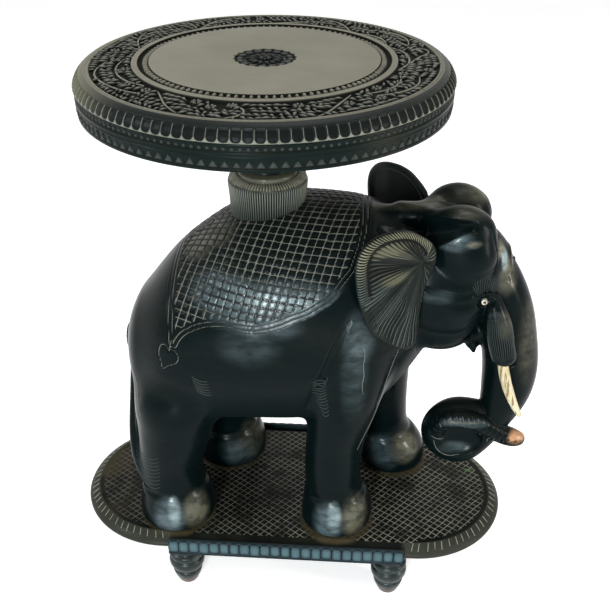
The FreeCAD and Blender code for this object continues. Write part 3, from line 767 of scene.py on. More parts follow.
def coil(clay):
    # the curl: a hollowed disc, and on it the ringed last stretch of the trunk with its tip
    clay.ball(onCoil(0, 0, -13), (33, 13, 33), 3.0)
    clay.ball((206, -33, 187), (25, 9.5, 22), 2.0, True)
    for angle in range(150, 232, 9):
        clay.tube([(*onCoil(angle, 12, -21), 1.0), (*onCoil(angle - 6, 21, -23.5), 1.7),
                   (*onCoil(angle - 8, 28, -26), 0.9)], 0.8)
    for radius in (14, 18.5, 23):
        arc = [(*onCoil(a, radius, -21.5 - radius * 0.12), 1.3) for a in range(236, 320, 7)]
        clay.tube(arc, 0.8)
    path, run = whorl()
    ringed = np.clip((run - 6) / 10, 0, 1) * np.clip((run[-1] - 22 - run) / 8, 0, 1)
    path[:, 3] += ringed * (1.5 * np.cos(2 * math.pi * run / 7.0) - 0.3)
    clay.tube(path, 1.0)
    for k, (x, z) in enumerate(((260, 193), (269, 190))):
        ringLine = [(x + 3.2 * math.cos(a), -34.4 + k * 1.2, z + 3.0 * math.sin(a), 0.9)
                    for a in np.linspace(0, 2 * math.pi, 13)]
        clay.tube(ringLine, 0.6)
        clay.ball((x, -35.5 + k, z), (2.0, 3.2, 2.0), 0.6, True)
    clay.crease([(249, -36, 199), (251, -37, 190), (248, -36, 181)], 1.3, 0.6)
    clay.crease([(254, -36, 200), (256, -37, 190), (253, -35, 180)], 1.1, 0.6)


def modelElephant(clay):
    clay.lengthwise(torsoTable, -191, 354, 194, 294, 220, 2.2, 2.0, (5, 8), 1.9)
    for table, x, side, radius in legs:
        leg(clay, table, x, side, radius)
    clay.tube([(70, 0, 455, 15), (120, 0, 464, 16), (160, 0, 466, 15), (182, 0, 462, 13)], 10.0)
    clay.lengthwise(headTable, 112, 126, 306, 158, 118, 2.2, 8.0, (6, 4))
    for side in (-1, 1):
        clay.ball((182, side * 28, 457), (38, 27, 35), 6.0)
        clay.ball((188, side * 33, 438), (34, 25, 33), 5.0)
        clay.ball((178, side * 32, 380), (38, 26, 22), 4.0)
        clay.tube(smoothPath([(120, 0, 468, 13), (146, side * 8, 469, 12), (166, side * 26, 474, 13),
                              (188, side * 32, 476, 13), (203, side * 32, 468, 12)], 4), 4.0)
        clay.ball((176, side * 40, 381), (35, 20, 17), 1.6)
    clay.ball((170, 0, 329), (40, 33, 26), 3.0)
    clay.tube([(186, 0, 328, 18), (202, 0, 324, 16), (216, 0, 325, 13)], 3.0)
    clay.tube([(205, 0, 320, 12), (210, 0, 307, 8), (212.5, 0, 295, 2.5)], 2.0)
    clay.tube(smoothPath(trunkLine, 5), 6.0)
    coil(clay)
    clay.tube(smoothPath(tailLine, 4), 3.0)
    for side in (-1, 1):
        clay.tube(smoothPath(mirrored(sheathLine, side), 4), 2.0)
        clay.ball((244, side * 43.5, 302), (19, 17, 10), 1.6, True, -0.25)


def mirrored(points, side):
    # the same line on the given side of the body
    return [(x, side * y, *rest) for x, y, *rest in points]


# the deep hollow between the ridge of the neck and the temple
neckHollow = [(103, 38, 470, 10), (118, 39, 465, 16), (140, 39, 465, 17), (162, 42, 470, 13),
              (180, 45, 476, 8),
              (192, 47, 480, 5)]
browLine = [(138, 61, 412), (150, 61, 408), (163, 59.5, 403), (178, 59, 400.5), (192, 57, 400),
            (203, 53, 405)]
jawLine = [(134, 59, 366), (146, 59, 360), (162, 58, 356), (180, 56, 354), (196, 50, 355), (204, 42, 358)]
templeLine = [(211, 42, 474), (216, 39, 457), (219, 36.5, 440), (221, 39, 425), (214, 45, 414)]
trunkRoot = [(212, 20, 474), (222, 24, 458), (230, 27, 440), (236, 30, 420), (240, 31, 404)]
lidLine = [(199, 53, 398, 1.6), (206, 51.5, 400.5, 1.6), (215, 48, 400, 1.6), (223, 43, 396, 1.6)]
shoulderLine = [(72, 96, 398), (59, 101, 370), (45, 101, 330), (33, 97, 296), (24, 91, 264)]


def carveHead(clay):
    for side in (-1, 1):
        clay.tube(smoothPath(mirrored(neckHollow, side), 5), 4.0, True)
        clay.ball((193, side * 49, 478), (5.5, 5.5, 6), 1.0, True)
        for line, radius in ((browLine, 2.9), (jawLine, 3.2), (templeLine, 2.4), (trunkRoot, 1.6)):
            clay.crease(mirrored(line, side), radius, 0.8)
        # the eye sits in an almond hollow under a heavy lid
        clay.ball((213, side * 47.5, 389), (11, 5.5, 6.5), 1.2, True, 0.1)
        clay.tube(mirrored(lidLine, side), 1.0)


def partLegs(clay):
    # the shoulder stands out from the belly along a slanting valley
    for side in (-1, 1):
        clay.crease(mirrored(shoulderLine, side), 4.6, 5.0)


def boundaryX(z):
    # where the skins of body and head meet, seen from the side
    return np.interp(z, [0, 250, 300, 480, 600], [158, 158, 147, 112, 112])


def sinkBeyond(clay, depth):
    # past its border a skin dives under its neighbour's, then ends in a closed wall
    reach = elephant["overlap"]
    clay.field = clay.field + np.clip(depth, 0, reach).astype(np.float32) * (1.6 / reach)
    clay.field = np.maximum(clay.field, (depth - reach).astype(np.float32))


def moulded(low, high, step, details=()):
    clay = Clay(low, high, step)
    modelElephant(clay)
    for detail in details:
        detail(clay)
    return clay


def skinned(name, clay, sunk=None):
    # the skin of one part, ending just beyond where its neighbour takes over
    x, y, z = np.ix_(*clay.axes)
    beyondNeck = np.where(z > elephant["neckLow"], x - boundaryX(z), -40.0) + 0 * y
    beyondCoil = elephant["coilCut"] - z + 0 * x + 0 * y
    sinkBeyond(clay, {"body": beyondNeck, "head": np.maximum(-beyondNeck, beyondCoil),
                      "coil": np.maximum(-beyondNeck, -beyondCoil)}[name])
    points, faces = clay.skin()
    if sunk:
        points = sunk(points, clay)
    print("skinned the", name, len(points), "points")
    return points, faces


bodyClay = moulded((-216, -118, 79), (200, 118, 497), elephant["bodyStep"], [carveHead, partLegs])
headClay = moulded((104, -76, 228), (296, 76, 500), elephant["headStep"], [carveHead])
coilClay = moulded((150, -48, 134), (296, 36, 252), elephant["coilStep"])


# soft spots of painted highlight and sheen, and of bare worn wood (bare): colour, then middle and half sizes
# in mm, and strength
steel, khaki, gold = (0.060, 0.088, 0.096), (0.088, 0.085, 0.058), (0.270, 0.255, 0.190)
glint, bare = (0.24, 0.31, 0.32), (0.46, 0.24, 0.12)
netSpots = [
    (steel, [((2, -104, 402), (84, 60, 30), 0.85), ((-62, -98, 414), (44, 60, 22), 0.6),
             ((-20, 104, 400), (60, 60, 26), 0.4)]),
    (khaki, [((-97, -32, 441), (28, 26, 15), 1.0), ((-74, -30, 457), (30, 28, 13), 0.7),
             ((-30, 0, 476), (90, 30, 12), 0.4)]),
    (glint, [((-4, -104, 411), (40, 30, 15), 0.55), ((-56, -100, 424), (26, 30, 10), 0.3)])]
skinSpots = [
    (steel, [((80, -98, 366), (18, 50, 34), 0.5), ((75, -98, 320), (15, 50, 60), 0.3),
             ((-140, -100, 108), (20, 30, 26), 1.1), ((49, -100, 106), (18, 30, 28), 1.1),
             ((171, -60, 464), (24, 22, 12), 1.0), ((-84, 60, 110), (26, 50, 26), 0.6),
             ((112, 28, 116), (26, 40, 26), 0.6), ((-18, -106, 386), (38, 40, 17), 0.5),
             ((-36, -108, 360), (34, 40, 24), 0.25), ((205, -37, 217), (30, 6, 7), 0.9),
             ((196, -26, 172), (24, 8, 8), 0.5), ((161, -62, 400), (20, 14, 9), 0.45),
             ((40, 104, 340), (60, 40, 40), 0.25), ((-120, 90, 340), (50, 40, 50), 0.25),
             ((-72, 25, 108), (26, 24, 20), 0.3)]),
    (khaki, [((110, 0, 486), (90, 20, 10), 1.0), ((190, -36, 489), (26, 14, 8), 0.5),
             ((-108, -94, 112), (17, 24, 26), 1.0), ((80, -88, 112), (17, 26, 28), 1.0),
             ((200, 30, 482), (26, 22, 12), 0.7), ((272, -30, 345), (16, 24, 75), 0.4),
             ((238, -58, 368), (12, 16, 22), 0.45), ((236, -20, 408), (14, 22, 22), 0.7),
             ((146, 24, 124), (22, 30, 22), 1.2), ((-60, 40, 120), (20, 30, 30), 0.3),
             ((-168, -60, 250), (12, 40, 40), 0.3)]),
    (gold, [((228, -24, 446), (7, 14, 15), 0.8), ((236, -24, 424), (6, 10, 9), 0.45),
            ((205, -40, 219), (26, 5, 2.5), 0.35), ((194, -58, 461), (10, 12, 4.5), 0.6)]),
    (glint, [((-134, -104, 117), (8, 14, 20), 0.7), ((57, -102, 117), (9, 14, 22), 0.75),
             ((232, -25, 430), (5, 12, 14), 1.0), ((168, -60, 466), (14, 15, 6), 0.7)]),
    (bare, [((270, -27, 194), (12, 20, 9), 1.3), ((50.5, -101, 161), (2.0, 5, 2.4), 1.3)])]


def ebonised(name, dark=(0.0009, 0.0027, 0.0029), sheenAndWorn=(0.040, 0.037, 0.025), sheenAndWearShare=0.25,
             dust=(0.165, 0.162, 0.132), carved=False, spots=(), crested=0.0):
    # near-black stained wood with a rubbed satin polish, browner and duller where it is worn, and with a
    # painted paler top sheen on upward faces
    f = Finish(name)
    grain = f.noise(26, 5.0, 0.6, (1, 5, 5))
    patch = f.noise(9, 4.0, 0.6).step(0.50, 0.80)
    cloud = f.noise(18, 4.0, 0.6)
    # upward faces take the worn colour as a painted top sheen
    up = f.up().step(0.35, 1.0)
    topSheenAndWear = (patch * sheenAndWearShare + up * (sheenAndWearShare * 0.9)).limit()
    color = f.mix(topSheenAndWear, f.mix(grain, dark, tuple(2.4 * c for c in dark)), sheenAndWorn)
    sheenAndBareWear = 0
    # spots of painted highlight and sheen, and of bare worn wood; the coat is raised where they lie
    if spots:
        spotNoise = f.noise(30, 4.0, 0.65, (1, 2.5, 2.5)).step(0.32, 0.68, 0.35, 1.35)
        for tint, places in spots:
            share = (f.near(places) * spotNoise).limit()
            color = f.mix(share, color, tint)
            sheenAndBareWear = share + sheenAndBareWear
        sheenAndBareWear = sheenAndBareWear.limit()
    if crested:
        fade = f.z.step(472, 504, 0.30, 1.0)
        color = f.mix((f.own("crest") * crested * fade * (0.5 + cloud)).limit(), color, dust)
    fine = f.noise(700, 2.0)
    hidden = (f.up() * -1).step(0.10, 0.60)
    rough = 0.24 + patch * 0.10 + (grain - 0.5) * 0.10 + up * 0.08 + hidden * 0.4
    if carved:
        # grooves hold pale dust; inside the painted sheen the grooves and their edges are painted dark, so
        # that the painted highlight lies on the cells only
        deep = f.own("deep").step(0.62, 0.98) * (0.7 + f.noise(160, 2.0) * 0.6)
        grooveDustDarkInSheen = f.mix((sheenAndBareWear * 2.0).limit(), dust, (0.006, 0.008, 0.008))
        color = f.mix((f.own("deep").step(0.12, 0.6) * sheenAndBareWear * 1.5).limit(), color, (0.004, 0.006, 0.006))
        color = f.mix(deep.limit(), color, grooveDustDarkInSheen)
        rough = (rough + deep * 0.35).limit()
    relief = f.relief(grain * 0.5 + fine * 0.10, 0.0007, 0.45)
    return f.close(color, rough, Normal=relief, Coat_Weight=sheenAndBareWear * 0.4,
                   Coat_Roughness=0.16, IOR=1.38, Specular_IOR_Level=0.09)


def ornamentFinish(name, low=(0.004, 0.006, 0.005), high=(0.115, 0.112, 0.090), gloss=0.40, power=1.6):
    # carving whose high parts are paler, as rubbed wear and painted highlight, and whose ground keeps its
    # black
    f = Finish(name)
    grain = f.noise(60, 4.0, 0.6)
    lift = (f.own("high") ** power) * (0.55 + grain * 0.9)
    color = f.mix(lift.limit(), low, high)
    relief = f.relief(grain + f.noise(420, 2.0) * 0.3, 0.0006, 0.5)
    rough = (gloss + (1 - f.own("high")) * 0.35 + grain * 0.1).limit()
    return f.close(color, rough, Normal=relief, IOR=1.38, Specular_IOR_Level=0.16)


def boardFinish(name):
    # the turned board: a rubbed grey-brown disc and rings, black grounds, pale crests between its tongues
    f = Finish(name)
    x = f.x - (tableX + shiftX)
    r = (x ** 2 + f.y ** 2) ** 0.5
    lines = f.noise(14, 6.0, 0.65, (2.5, 55, 10))
    cloud = f.noise(7, 4.0, 0.6)
    disc = r.step(114.2, 115.0, 1.0, 0.0)
    ring = r.step(125.6, 126.2) * r.step(131.4, 132.0, 1.0, 0.0)
    rim = r.step(172.3, 172.9) * r.step(176.6, 178.2, 1.0, 0.0)
    band = r.step(114.3, 115.3) * r.step(171.5, 172.5, 1.0, 0.0)
    flat = disc * f.z.step(634.0, 634.6) + ring + rim * 0.8
    khaki = f.mix(cloud.step(0.35, 0.7), (0.180, 0.172, 0.134), (0.222, 0.212, 0.168))
    khaki = f.mix(lines.step(0.45, 0.75) * 0.35, khaki, (0.140, 0.132, 0.102))
    west = x.step(-185, -105, 1.0, 0.0)
    black = f.mix((west * 0.9 + cloud * 0.12).limit(), (0.0020, 0.0052, 0.0062), (0.118, 0.112, 0.076))
    east = x.step(115, 175) * cloud.step(0.2, 0.7)
    black = f.mix(east * 0.8, black, (0.050, 0.058, 0.040))
    ground = f.mix(band, black, (0.006, 0.0065, 0.005))
    color = f.mix(flat.limit(), ground, khaki)
    crest = f.own("crest").step(0.5, 1.0) * (0.45 + f.noise(90, 2.0) * 0.8)
    color = f.mix(crest.limit(), color, (0.20, 0.205, 0.165))
    color = f.mix(f.own("deep") * (0.8 - west * 0.7), color, (0.002, 0.0035, 0.0035))
    rough = (0.30 + flat * 0.20 + lines * 0.1 + band * (1 - ring) * 0.45).limit()
    relief = f.relief(lines * 0.6 + f.noise(500, 2.0) * 0.1, 0.0005, 0.5)
    return f.close(color, rough, Normal=relief, IOR=1.38, Specular_IOR_Level=0.12)


def plinthFinish(name):
    # a scored net of pale lines, rubbed away round the feet, with a plain margin at the rounded ends
    f = Finish(name)
    x, y = f.x - shiftX, f.y
    wobble = f.noise(9, 3.0) * 6.0 + f.noise(40, 2.0) * 1.2
    turnA, turnB = math.radians(50), math.radians(-35)
    first = ((y * math.cos(turnA) - x * math.sin(turnA)) + wobble).wave(7.0) * 7.0
    second = ((y * math.cos(turnB) - x * math.sin(turnB)) + wobble * 0.8).wave(7.4) * 7.4
    spine = (abs(x) - (plinth["length"] - plinth["width"]) / 2).calc("MAXIMUM", 0.0)
    inset = plinth["width"] / 2 - (spine ** 2 + y ** 2) ** 0.5
    edge = 2.5 + abs(x).step(138, 165) * 16
    field = (inset - edge).step(0.0, 1.6) * f.z.step(81.5, 81.9)
    margin = abs(x).step(136, 144) * inset.step(13.5, 15.0, 1.0, 0.0)
    bare = 0
    for _, footX, side, _ in legs:
        away = ((x - footX) ** 2 + (y - side * elephant["legOut"]) ** 2) ** 0.5
        bare = away.step(42, 54, 1.0, 0.0) + bare
    patch = f.noise(14, 4.0, 0.6)
    brown = ((bare * 0.9 + (patch - 0.5) * 1.6).step(0.35, 1.0) + x.step(-262, -180, 0.9, 0.0)
             * patch.step(0.36, 0.58)).limit()
    line = first.calc("MINIMUM", second).step(0.28, 0.72, 1.0, 0.0) * field
    broken = f.noise(55, 3.0, 0.6).step(0.34, 0.56) * 0.75 + 0.25
    faint = broken * (1 - brown * 0.8) * x.step(-60, 40, 0.55, 1.0)
    color = f.mix(f.noise(20, 4.0, 0.6).step(0.4, 0.8) * 0.6, (0.0022, 0.0036, 0.0024), (0.016, 0.018, 0.011))
    color = f.mix(brown * 0.85, color, (0.062, 0.050, 0.026))
    color = f.mix(margin * (0.15 + patch * 0.8), color, (0.054, 0.056, 0.043))
    chip = (((x - 228) / 8) ** 2 + ((y - 36) / 3.5) ** 2) ** 0.5
    color = f.mix((chip.step(0.5, 1.1, 1.0, 0.0) * patch * 1.5).limit(), color, (0.045, 0.120, 0.030))
    color = f.mix((line * faint).limit(), color, (0.30, 0.285, 0.235))
    relief = f.relief(line * -1.0 + f.noise(60, 4.0) * 0.25, 0.0009, 0.8)
    return f.close(color, 0.36 + line * 0.3 + brown * 0.12, Normal=relief,
                   IOR=1.38, Specular_IOR_Level=0.11)


def footFinish(name):
    # turned wood with pale worn rings, worn through to brown where it stands on the floor
    f = Finish(name)
    grain = f.noise(30, 4.0, 0.6, (1, 1, 3))
    patch = f.noise(60, 4.0, 0.6)
    color = f.mix(grain, (0.002, 0.006, 0.006), (0.014, 0.022, 0.021))
    color = f.mix(patch.step(0.50, 0.72) * 0.5, color, (0.085, 0.105, 0.100))
    color = f.mix((f.z + patch * 10).step(12.0, 18.0, 0.8, 0.0), color, (0.085, 0.040, 0.026))
    return f.close(color, 0.22 + patch * 0.2, Normal=f.relief(grain, 0.0006, 0.4),
                   IOR=1.38, Specular_IOR_Level=0.4)


plinth = {
    "length": 529.0,
    "width": 226.0,
    "notchPitch": 10.0,      # mm from one ridge of the rounded ends to the next
    "petals": 23,            # along each straight edge
}

finishes = {
    "skin": ebonised("ebony_skin", sheenAndWearShare=0.12, spots=skinSpots),
    "net": ebonised("ebony_net", sheenAndWearShare=0.12, carved=True, spots=netSpots),
    "hairs": ornamentFinish("ebony_hairs", low=(0.004, 0.006, 0.006), high=(0.035, 0.042, 0.040), power=1.0),
    "board": boardFinish("ebony_board"),
    # the leaves' pale crests are mostly painted highlight
    "leaves": ornamentFinish("ebony_leaves", low=(0.0012, 0.0024, 0.0020), high=(0.420, 0.420, 0.350),
                             power=4.5),
    "rosette": ornamentFinish("ebony_rosette", low=(0.0012, 0.0024, 0.0026), high=(0.220, 0.225, 0.200),
                              power=6.0, gloss=0.5),
    # a painted khaki sheen round the top of the drum, and pale crests on the reeds
    "reeds": ebonised("ebony_reeds", sheenAndWearShare=0.45, sheenAndWorn=(0.075, 0.072, 0.045), dust=(0.19, 0.20, 0.165),
                      crested=0.9,
                      spots=[((0.100, 0.098, 0.072), [((-24, 0, 512), (70, 70, 7), 1.0)])]),
    "flowers": ornamentFinish("ebony_flowers", high=(0.150, 0.152, 0.128), power=1.6),
    "hatch": ornamentFinish("ebony_hatch", high=(0.240, 0.235, 0.180), power=0.7),
    "teeth": ornamentFinish("ebony_teeth", high=(0.19, 0.18, 0.138), power=0.8),
    "vines": ornamentFinish("ebony_vines", high=(0.20, 0.195, 0.155), power=0.5),
    "apron": ebonised("ebony_apron", dark=(0.0020, 0.0046, 0.0042), sheenAndWearShare=0.35),
    "beads": ornamentFinish("ebony_beads", low=(0.002, 0.003, 0.003), high=(0.032, 0.038, 0.033), power=2.0),
    # the strips' blue-grey is a painted reflection
    "strips": ebonised("ebony_strips", dark=(0.004, 0.008, 0.010), sheenAndWorn=(0.040, 0.058, 0.064), sheenAndWearShare=0.6),
    "feet": footFinish("ebony_feet"),
    "plinth": plinthFinish("ebony_plinth"),
    # pale strands: real scratches, and painted glints along edges and ring crests
    "scratches_and_glints": ornamentFinish("ebony_scratches", high=(0.15, 0.162, 0.147), power=0.5),
    "notches": ornamentFinish("ebony_notches", high=(0.26, 0.26, 0.215), power=0.6),
    # the petals' blue-grey is a painted reflection
    "petals": ornamentFinish("ebony_petals", low=(0.016, 0.028, 0.033), high=(0.070, 0.122, 0.142),
                             gloss=0.3, power=1.2),
}
print("finishes written:", len(finishes))

# The blanket: a net cut into the back, with a double line round it and a heart hanging from each rear corner
blanket = {
    "gap": 1.3,              # mm between the points of its mesh
    "pitch": 9.0,            # mm from one line of the net to the next
    "lineWidth": 2.3,
    "lineDepth": 1.0,
    "borderWidth": 4.8,      # mm between the two lines round it
    "sink": 2.2,             # mm that the skin dives below the carving
}
blanketEdge = [
    (-121, 440), (-121, 400), (-120, 375), (-119, 355), (-115, 363), (-105, 373), (-92, 381), (-77, 386),
    (-62, 388), (-47, 387), (-31, 386), (-16, 389), (-2, 394), (11, 400), (24, 405), (37, 413), (48, 420),
    (55, 428), (62, 436), (67, 441), (71, 451), (75, 460), (78, 469), (79, 477), (81, 500)]
heartLine = [
    (-124, 345.5), (-126.5, 349.5), (-131.5, 350), (-136, 344), (-136.6, 335), (-134.6, 327), (-133, 321),
    (-127, 326), (-118, 331), (-113.6, 338), (-115.5, 345), (-120, 348), (-124, 345.5)]
cordLine = [(-121, 357), (-122.8, 351), (-124, 345.5)]


def backSection(clay, places, count):
    # where rays from the middle of the body come out through its skin, place by place along X
    turn = np.radians(np.linspace(-112, 112, count))
    x, a = np.meshgrid(places, turn, indexing="ij")
    middle = np.interp(x, [-140, 95], [335, 350])
    ray = np.stack([0 * a, np.sin(a), np.cos(a)], -1)
    start = np.stack([x, 0 * x, middle], -1)
    low = np.full(x.shape, 40.0)
    found = np.zeros(x.shape, bool)
    for reach in np.arange(168, 38, -4.0):
        inside = clay.sample((start + ray * reach).reshape(-1, 3)).reshape(x.shape) < 0
        low = np.where(inside & ~found, reach, low)
        found |= inside
    high = low + 4.0
    for _ in range(9):
        mid = (low + high) / 2
        inside = clay.sample((start + ray * mid[..., None]).reshape(-1, 3)).reshape(x.shape) < 0
        low, high = np.where(inside, mid, low), np.where(inside, high, mid)
    return start + ray * low[..., None]


def awayFrom(line, x, w):
    # distance from each place to the nearest piece of a line
    best = np.full(x.shape, 1e9)
    for (ax, aw), (bx, bw) in zip(line[:-1], line[1:]):
        dx, dw = bx - ax, bw - aw
        share = np.clip(((x - ax) * dx + (w - aw) * dw) / (dx * dx + dw * dw + 1e-9), 0, 1)
        best = np.minimum(best, np.hypot(x - ax - share * dx, w - aw - share * dw))
    return best


def within(line, x, w):
    inside = np.zeros(x.shape, bool)
    for (ax, aw), (bx, bw) in zip(line, line[1:] + line[:1]):
        crosses = (aw > w) != (bw > w)
        inside ^= crosses & (x < (bx - ax) * (w - aw) / (bw - aw + 1e-12) + ax)
    return inside


class BackMap:
    # finds, for a place on the back, how far up the body's side it lies along the skin
    def __init__(self, clay):
        self.places = np.arange(-150, 104, 2.0)
        skin = backSection(clay, self.places, 240)
        self.columns = []
        for column in skin:
            half = column[:len(column) // 2 + 1]
            run = runAlong(half)
            level = np.interp(341.0, half[:, 2], run)
            self.columns.append((half[:, 2], run - level))
        self.crown = np.array([c[1][-1] for c in self.columns])

    def rise(self, x, z):
        # the way up from the 341 mm level to height z, at place x
        levels = np.arange(296, 500, 1.0)
        grid = np.stack([np.interp(levels, c[0], c[1]) for c in self.columns])
        i = np.clip((x - self.places[0]) / 2.0, 0, len(self.places) - 1.001)
        k = np.clip(z - levels[0], 0, len(levels) - 1.001)
        a, b = i.astype(int), k.astype(int)
        s, t = i - a, k - b
        return ((grid[a, b] * (1 - s) + grid[a + 1, b] * s) * (1 - t)
                + (grid[a, b + 1] * (1 - s) + grid[a + 1, b + 1] * s) * t)

    def line(self, points):
        x, z = np.array(points, float).T
        return list(zip(x, self.rise(x, z)))


backMap = BackMap(bodyClay)
edgeLine = backMap.line(np.concatenate([blanketEdge[:3], smoothPath(blanketEdge[3:20], 4), blanketEdge[20:]]))
edgeLine[0] = (-121.0, 400.0)
edgeLine[-1] = (83.0, 400.0)
cordRun = backMap.line(cordLine)
heartRun = backMap.line(smoothPath(heartLine, 4))


def blanketInside(x, w):
    # mm inside the net's edge, less than nothing outside it
    away = awayFrom(edgeLine, x, w)
    return np.where(within(edgeLine, x, w), away, -away)


def blanketCover(x, w):
    # mm inside the whole carving, with its outer line and the heart
    heart = 5.0 - np.minimum(awayFrom(heartRun, x, w), awayFrom(cordRun, x, w))
    heart = np.maximum(heart, np.where(within(heartRun, x, w), 5.0, -50.0))
    return np.maximum(blanketInside(x, w) + blanket["borderWidth"] + 4.0, heart)


def sinkUnderBlanket(points, clay):
    x, y, z = points.T
    beside = (x > -150) & (x < 102) & (z > 300)
    w = np.full(len(x), -99.0)
    cover = np.full(len(x), -99.0)
    w[beside] = backMap.rise(x[beside], z[beside])
    # close to the crown the height says little, so the way round to it is measured along Y
    crown = np.interp(x, backMap.places, backMap.crown)
    flat = beside & (np.abs(y) < 45) & (z > 400)
    w[flat] = crown[flat] - np.abs(y[flat])
    cover[beside] = blanketCover(x[beside], w[beside])
    slope = clay.slope(points)
    slope /= np.linalg.norm(slope, axis=1)[:, None] + 1e-9
    depth = blanket["sink"] * np.clip(cover / 5.0, 0, 1)
    return points - slope * depth[:, None]


def blanketSheet():
    gap = blanket["gap"]
    places = np.arange(-146, 92, gap)
    skin = backSection(bodyClay, places, 420)
    reach = 232.0
    runs = np.arange(-reach, reach + gap / 2, gap)
    grid = np.zeros((len(places), len(runs), 3))
    for i, column in enumerate(skin):
        run = runAlong(column)
        run -= np.interp(0.0, np.linspace(-1, 1, len(run)), run)
        for k in range(3):
            grid[i, :, k] = np.interp(runs, run, column[:, k])
    shape = grid.shape[:2]
    points = grid.reshape(-1, 3)
    for _ in range(2):
        slope = bodyClay.slope(points)
        points = points - (bodyClay.sample(points) / np.maximum((slope ** 2).sum(1), 0.2))[:, None] * slope
    slope = bodyClay.slope(points)
    normal = slope / (np.linalg.norm(slope, axis=1)[:, None] + 1e-9)
    x = points[:, 0]
    crown = np.interp(x, backMap.places, backMap.crown)
    w = crown - np.abs(np.tile(runs, len(places)))
    cover = blanketCover(x, w)
    inside = blanketInside(x, w)
    lines = np.minimum(np.abs(inside), np.abs(inside + blanket["borderWidth"]))
    lines = np.minimum(lines, np.minimum(awayFrom(heartRun, x, w), awayFrom(cordRun, x, w)))
    points = points - normal * (1.6 * np.clip(-cover / 5.0, 0, 1))[:, None]
    keep = (cover > -5.0).reshape(shape)
    cell = keep[:-1, :-1] & keep[1:, :-1] & keep[1:, 1:] & keep[:-1, 1:]
    number = np.arange(len(points)).reshape(shape)
    quads = np.stack([number[:-1, :-1], number[1:, :-1], number[1:, 1:], number[:-1, 1:]], -1)[cell]
    # every edge that only one square has is joined to a point deep in the body, so the block is closed
    edges = np.concatenate([quads[:, [k, (k + 1) % 4]] for k in range(4)])
    key = np.sort(edges, 1)
    _, first, counts = np.unique(key, axis=0, return_index=True, return_counts=True)
    rim = edges[first[counts == 1]]
    used, back = np.unique(quads, return_inverse=True)
    turned = np.full(len(points), -1)
    turned[used] = np.arange(len(used))
    faces = [tuple(q) for q in back.reshape(quads.shape)]
    faces += [(turned[b], turned[a], len(used)) for a, b in rim]
    points = np.concatenate([points[used], [(-20, 0, 350)]])
    marks = {"netU": x - 0.3 * w, "netV": w + 0.15 * x, "netIn": inside, "lineAway": lines}
    marks = {k: np.append(v[used], 99.0 if k == "lineAway" else -99.0) for k, v in marks.items()}
    return makePiece("blanket_sheet", points, faces, marks)


def netMaker():
    # two sets of sunk lines across a sheet inside its edge, and one line round it
    t = Maker("net cut into a sheet", {"Pitch": ("Float", 9.0), "Width": ("Float", 2.0),
                                       "Depth": ("Float", 0.001)})
    pitch, half = t.given("Pitch"), t.given("Width") * 0.5
    across, along = [t.own(name).wave(pitch) * pitch for name in ("netU", "netV")]
    net = across.calc("MINIMUM", along).step(half * 0.35, half * 1.25, 1.0, 0.0) * t.own("netIn").step(2.4,
                                                                                                       3.4)
    deep = net.calc("MAXIMUM", t.own("lineAway").step(0.25, 1.05, 1.0, 0.0))
    return t.close(t.sunk(t.marked(t.given("Start"), "deep", deep), deep * t.given("Depth")))


sheet = netMaker().grow("elephant_blanket", finishes["net"], blanketSheet(), Pitch=blanket["pitch"],
                        Width=blanket["lineWidth"], Depth=blanket["lineDepth"] * mm)
dress(sheet, "base")
print("blanket carved:", len(sheet.data.vertices), "points")

for key, clay, sunk in (("body", bodyClay, sinkUnderBlanket), ("head", headClay, None),
                        ("coil", coilClay, None)):
    points, faces = skinned(key, clay, sunk)
    dress(makePiece("elephant_" + key, points, faces), "base", finishes["skin"],
          ["elephant_carving"] if key == "body" else ())


# The top board: a turned disc with a sunk rosette, rings, a carved band and a tongued edge
top = {
    "tongueCount": 114,
    "tongueDepth": 1.9,      # mm
    "edgeStart": 177.3,      # mm from the axis, where the tongued edge begins
    "sides": 1368,
    "toothCount": 108,
    "bandGround": 630.7,     # mm above the floor
    "firstLeaves": 136.8,    # mm from the axis to the first row of leaves
    "leafRows": 5,
    "rowGap": 7.7,           # mm from one row of leaves to the next
    "leafGap": 6.6,          # mm from one leaf to the next in a row
    "beadCount": 167,
}

boardLine = [
    (0, 632.6), (31.0, 632.6), (32.0, 635), (115.4, 635), (116.2, 632.6), (122.6, 632.6), (123.2, 631.8),
    (124.6, 631.8), (125.4, 635.0), (128.3, 635.0), (128.7, 634.6), (129.1, 635), (131.6, 635.0),
    (132.6, 630.6), (171.9, 630.6), (172.8, 632.9), (174.6, 632.9), (175.0, 632.1), (175.7, 632.1),
    (176.2, 632.6), (177.4, 632.5), (180.5, 631.4), (184, 629.0), (186.6, 626.2), (188.6, 622.6),
    (189.7, 619.6), (189.9, 617.9), (189.0, 616.9), (187.0, 616.9), (160, 616.9), (158, 616.9), (0, 616.9)]


def topBoard():
    line = eased(boardLine, 0.6)
    edge = (line[:, 0] > top["edgeStart"]) & (line[:, 1] > 616.95)
    first, last = np.argmax(edge), len(edge) - np.argmax(edge[::-1])
    line = np.concatenate([line[:first], divided(line[first:last], 0.75), line[last:]])
    board = turnedForm("top_board_carved", line, top["sides"], (tableX, 0), True)
    rows = line[1:-1]
    run = runAlong(rows)
    start = run[np.argmax(rows[:, 0] > top["edgeStart"])]
    low = run[np.argmax((rows[:, 0] > 180) & (rows[:, 1] < 617.6))]
    return tongues.grow("top_board_carved", finishes["board"], board, Count=top["tongueCount"],
                        Depth=top["tongueDepth"] * mm, Radius=0.1895, First=start + 6.0, Last=low,
                        Ridge=0.75, Soft=0.7)


dress(topBoard(), "top", None, ["top_board"])


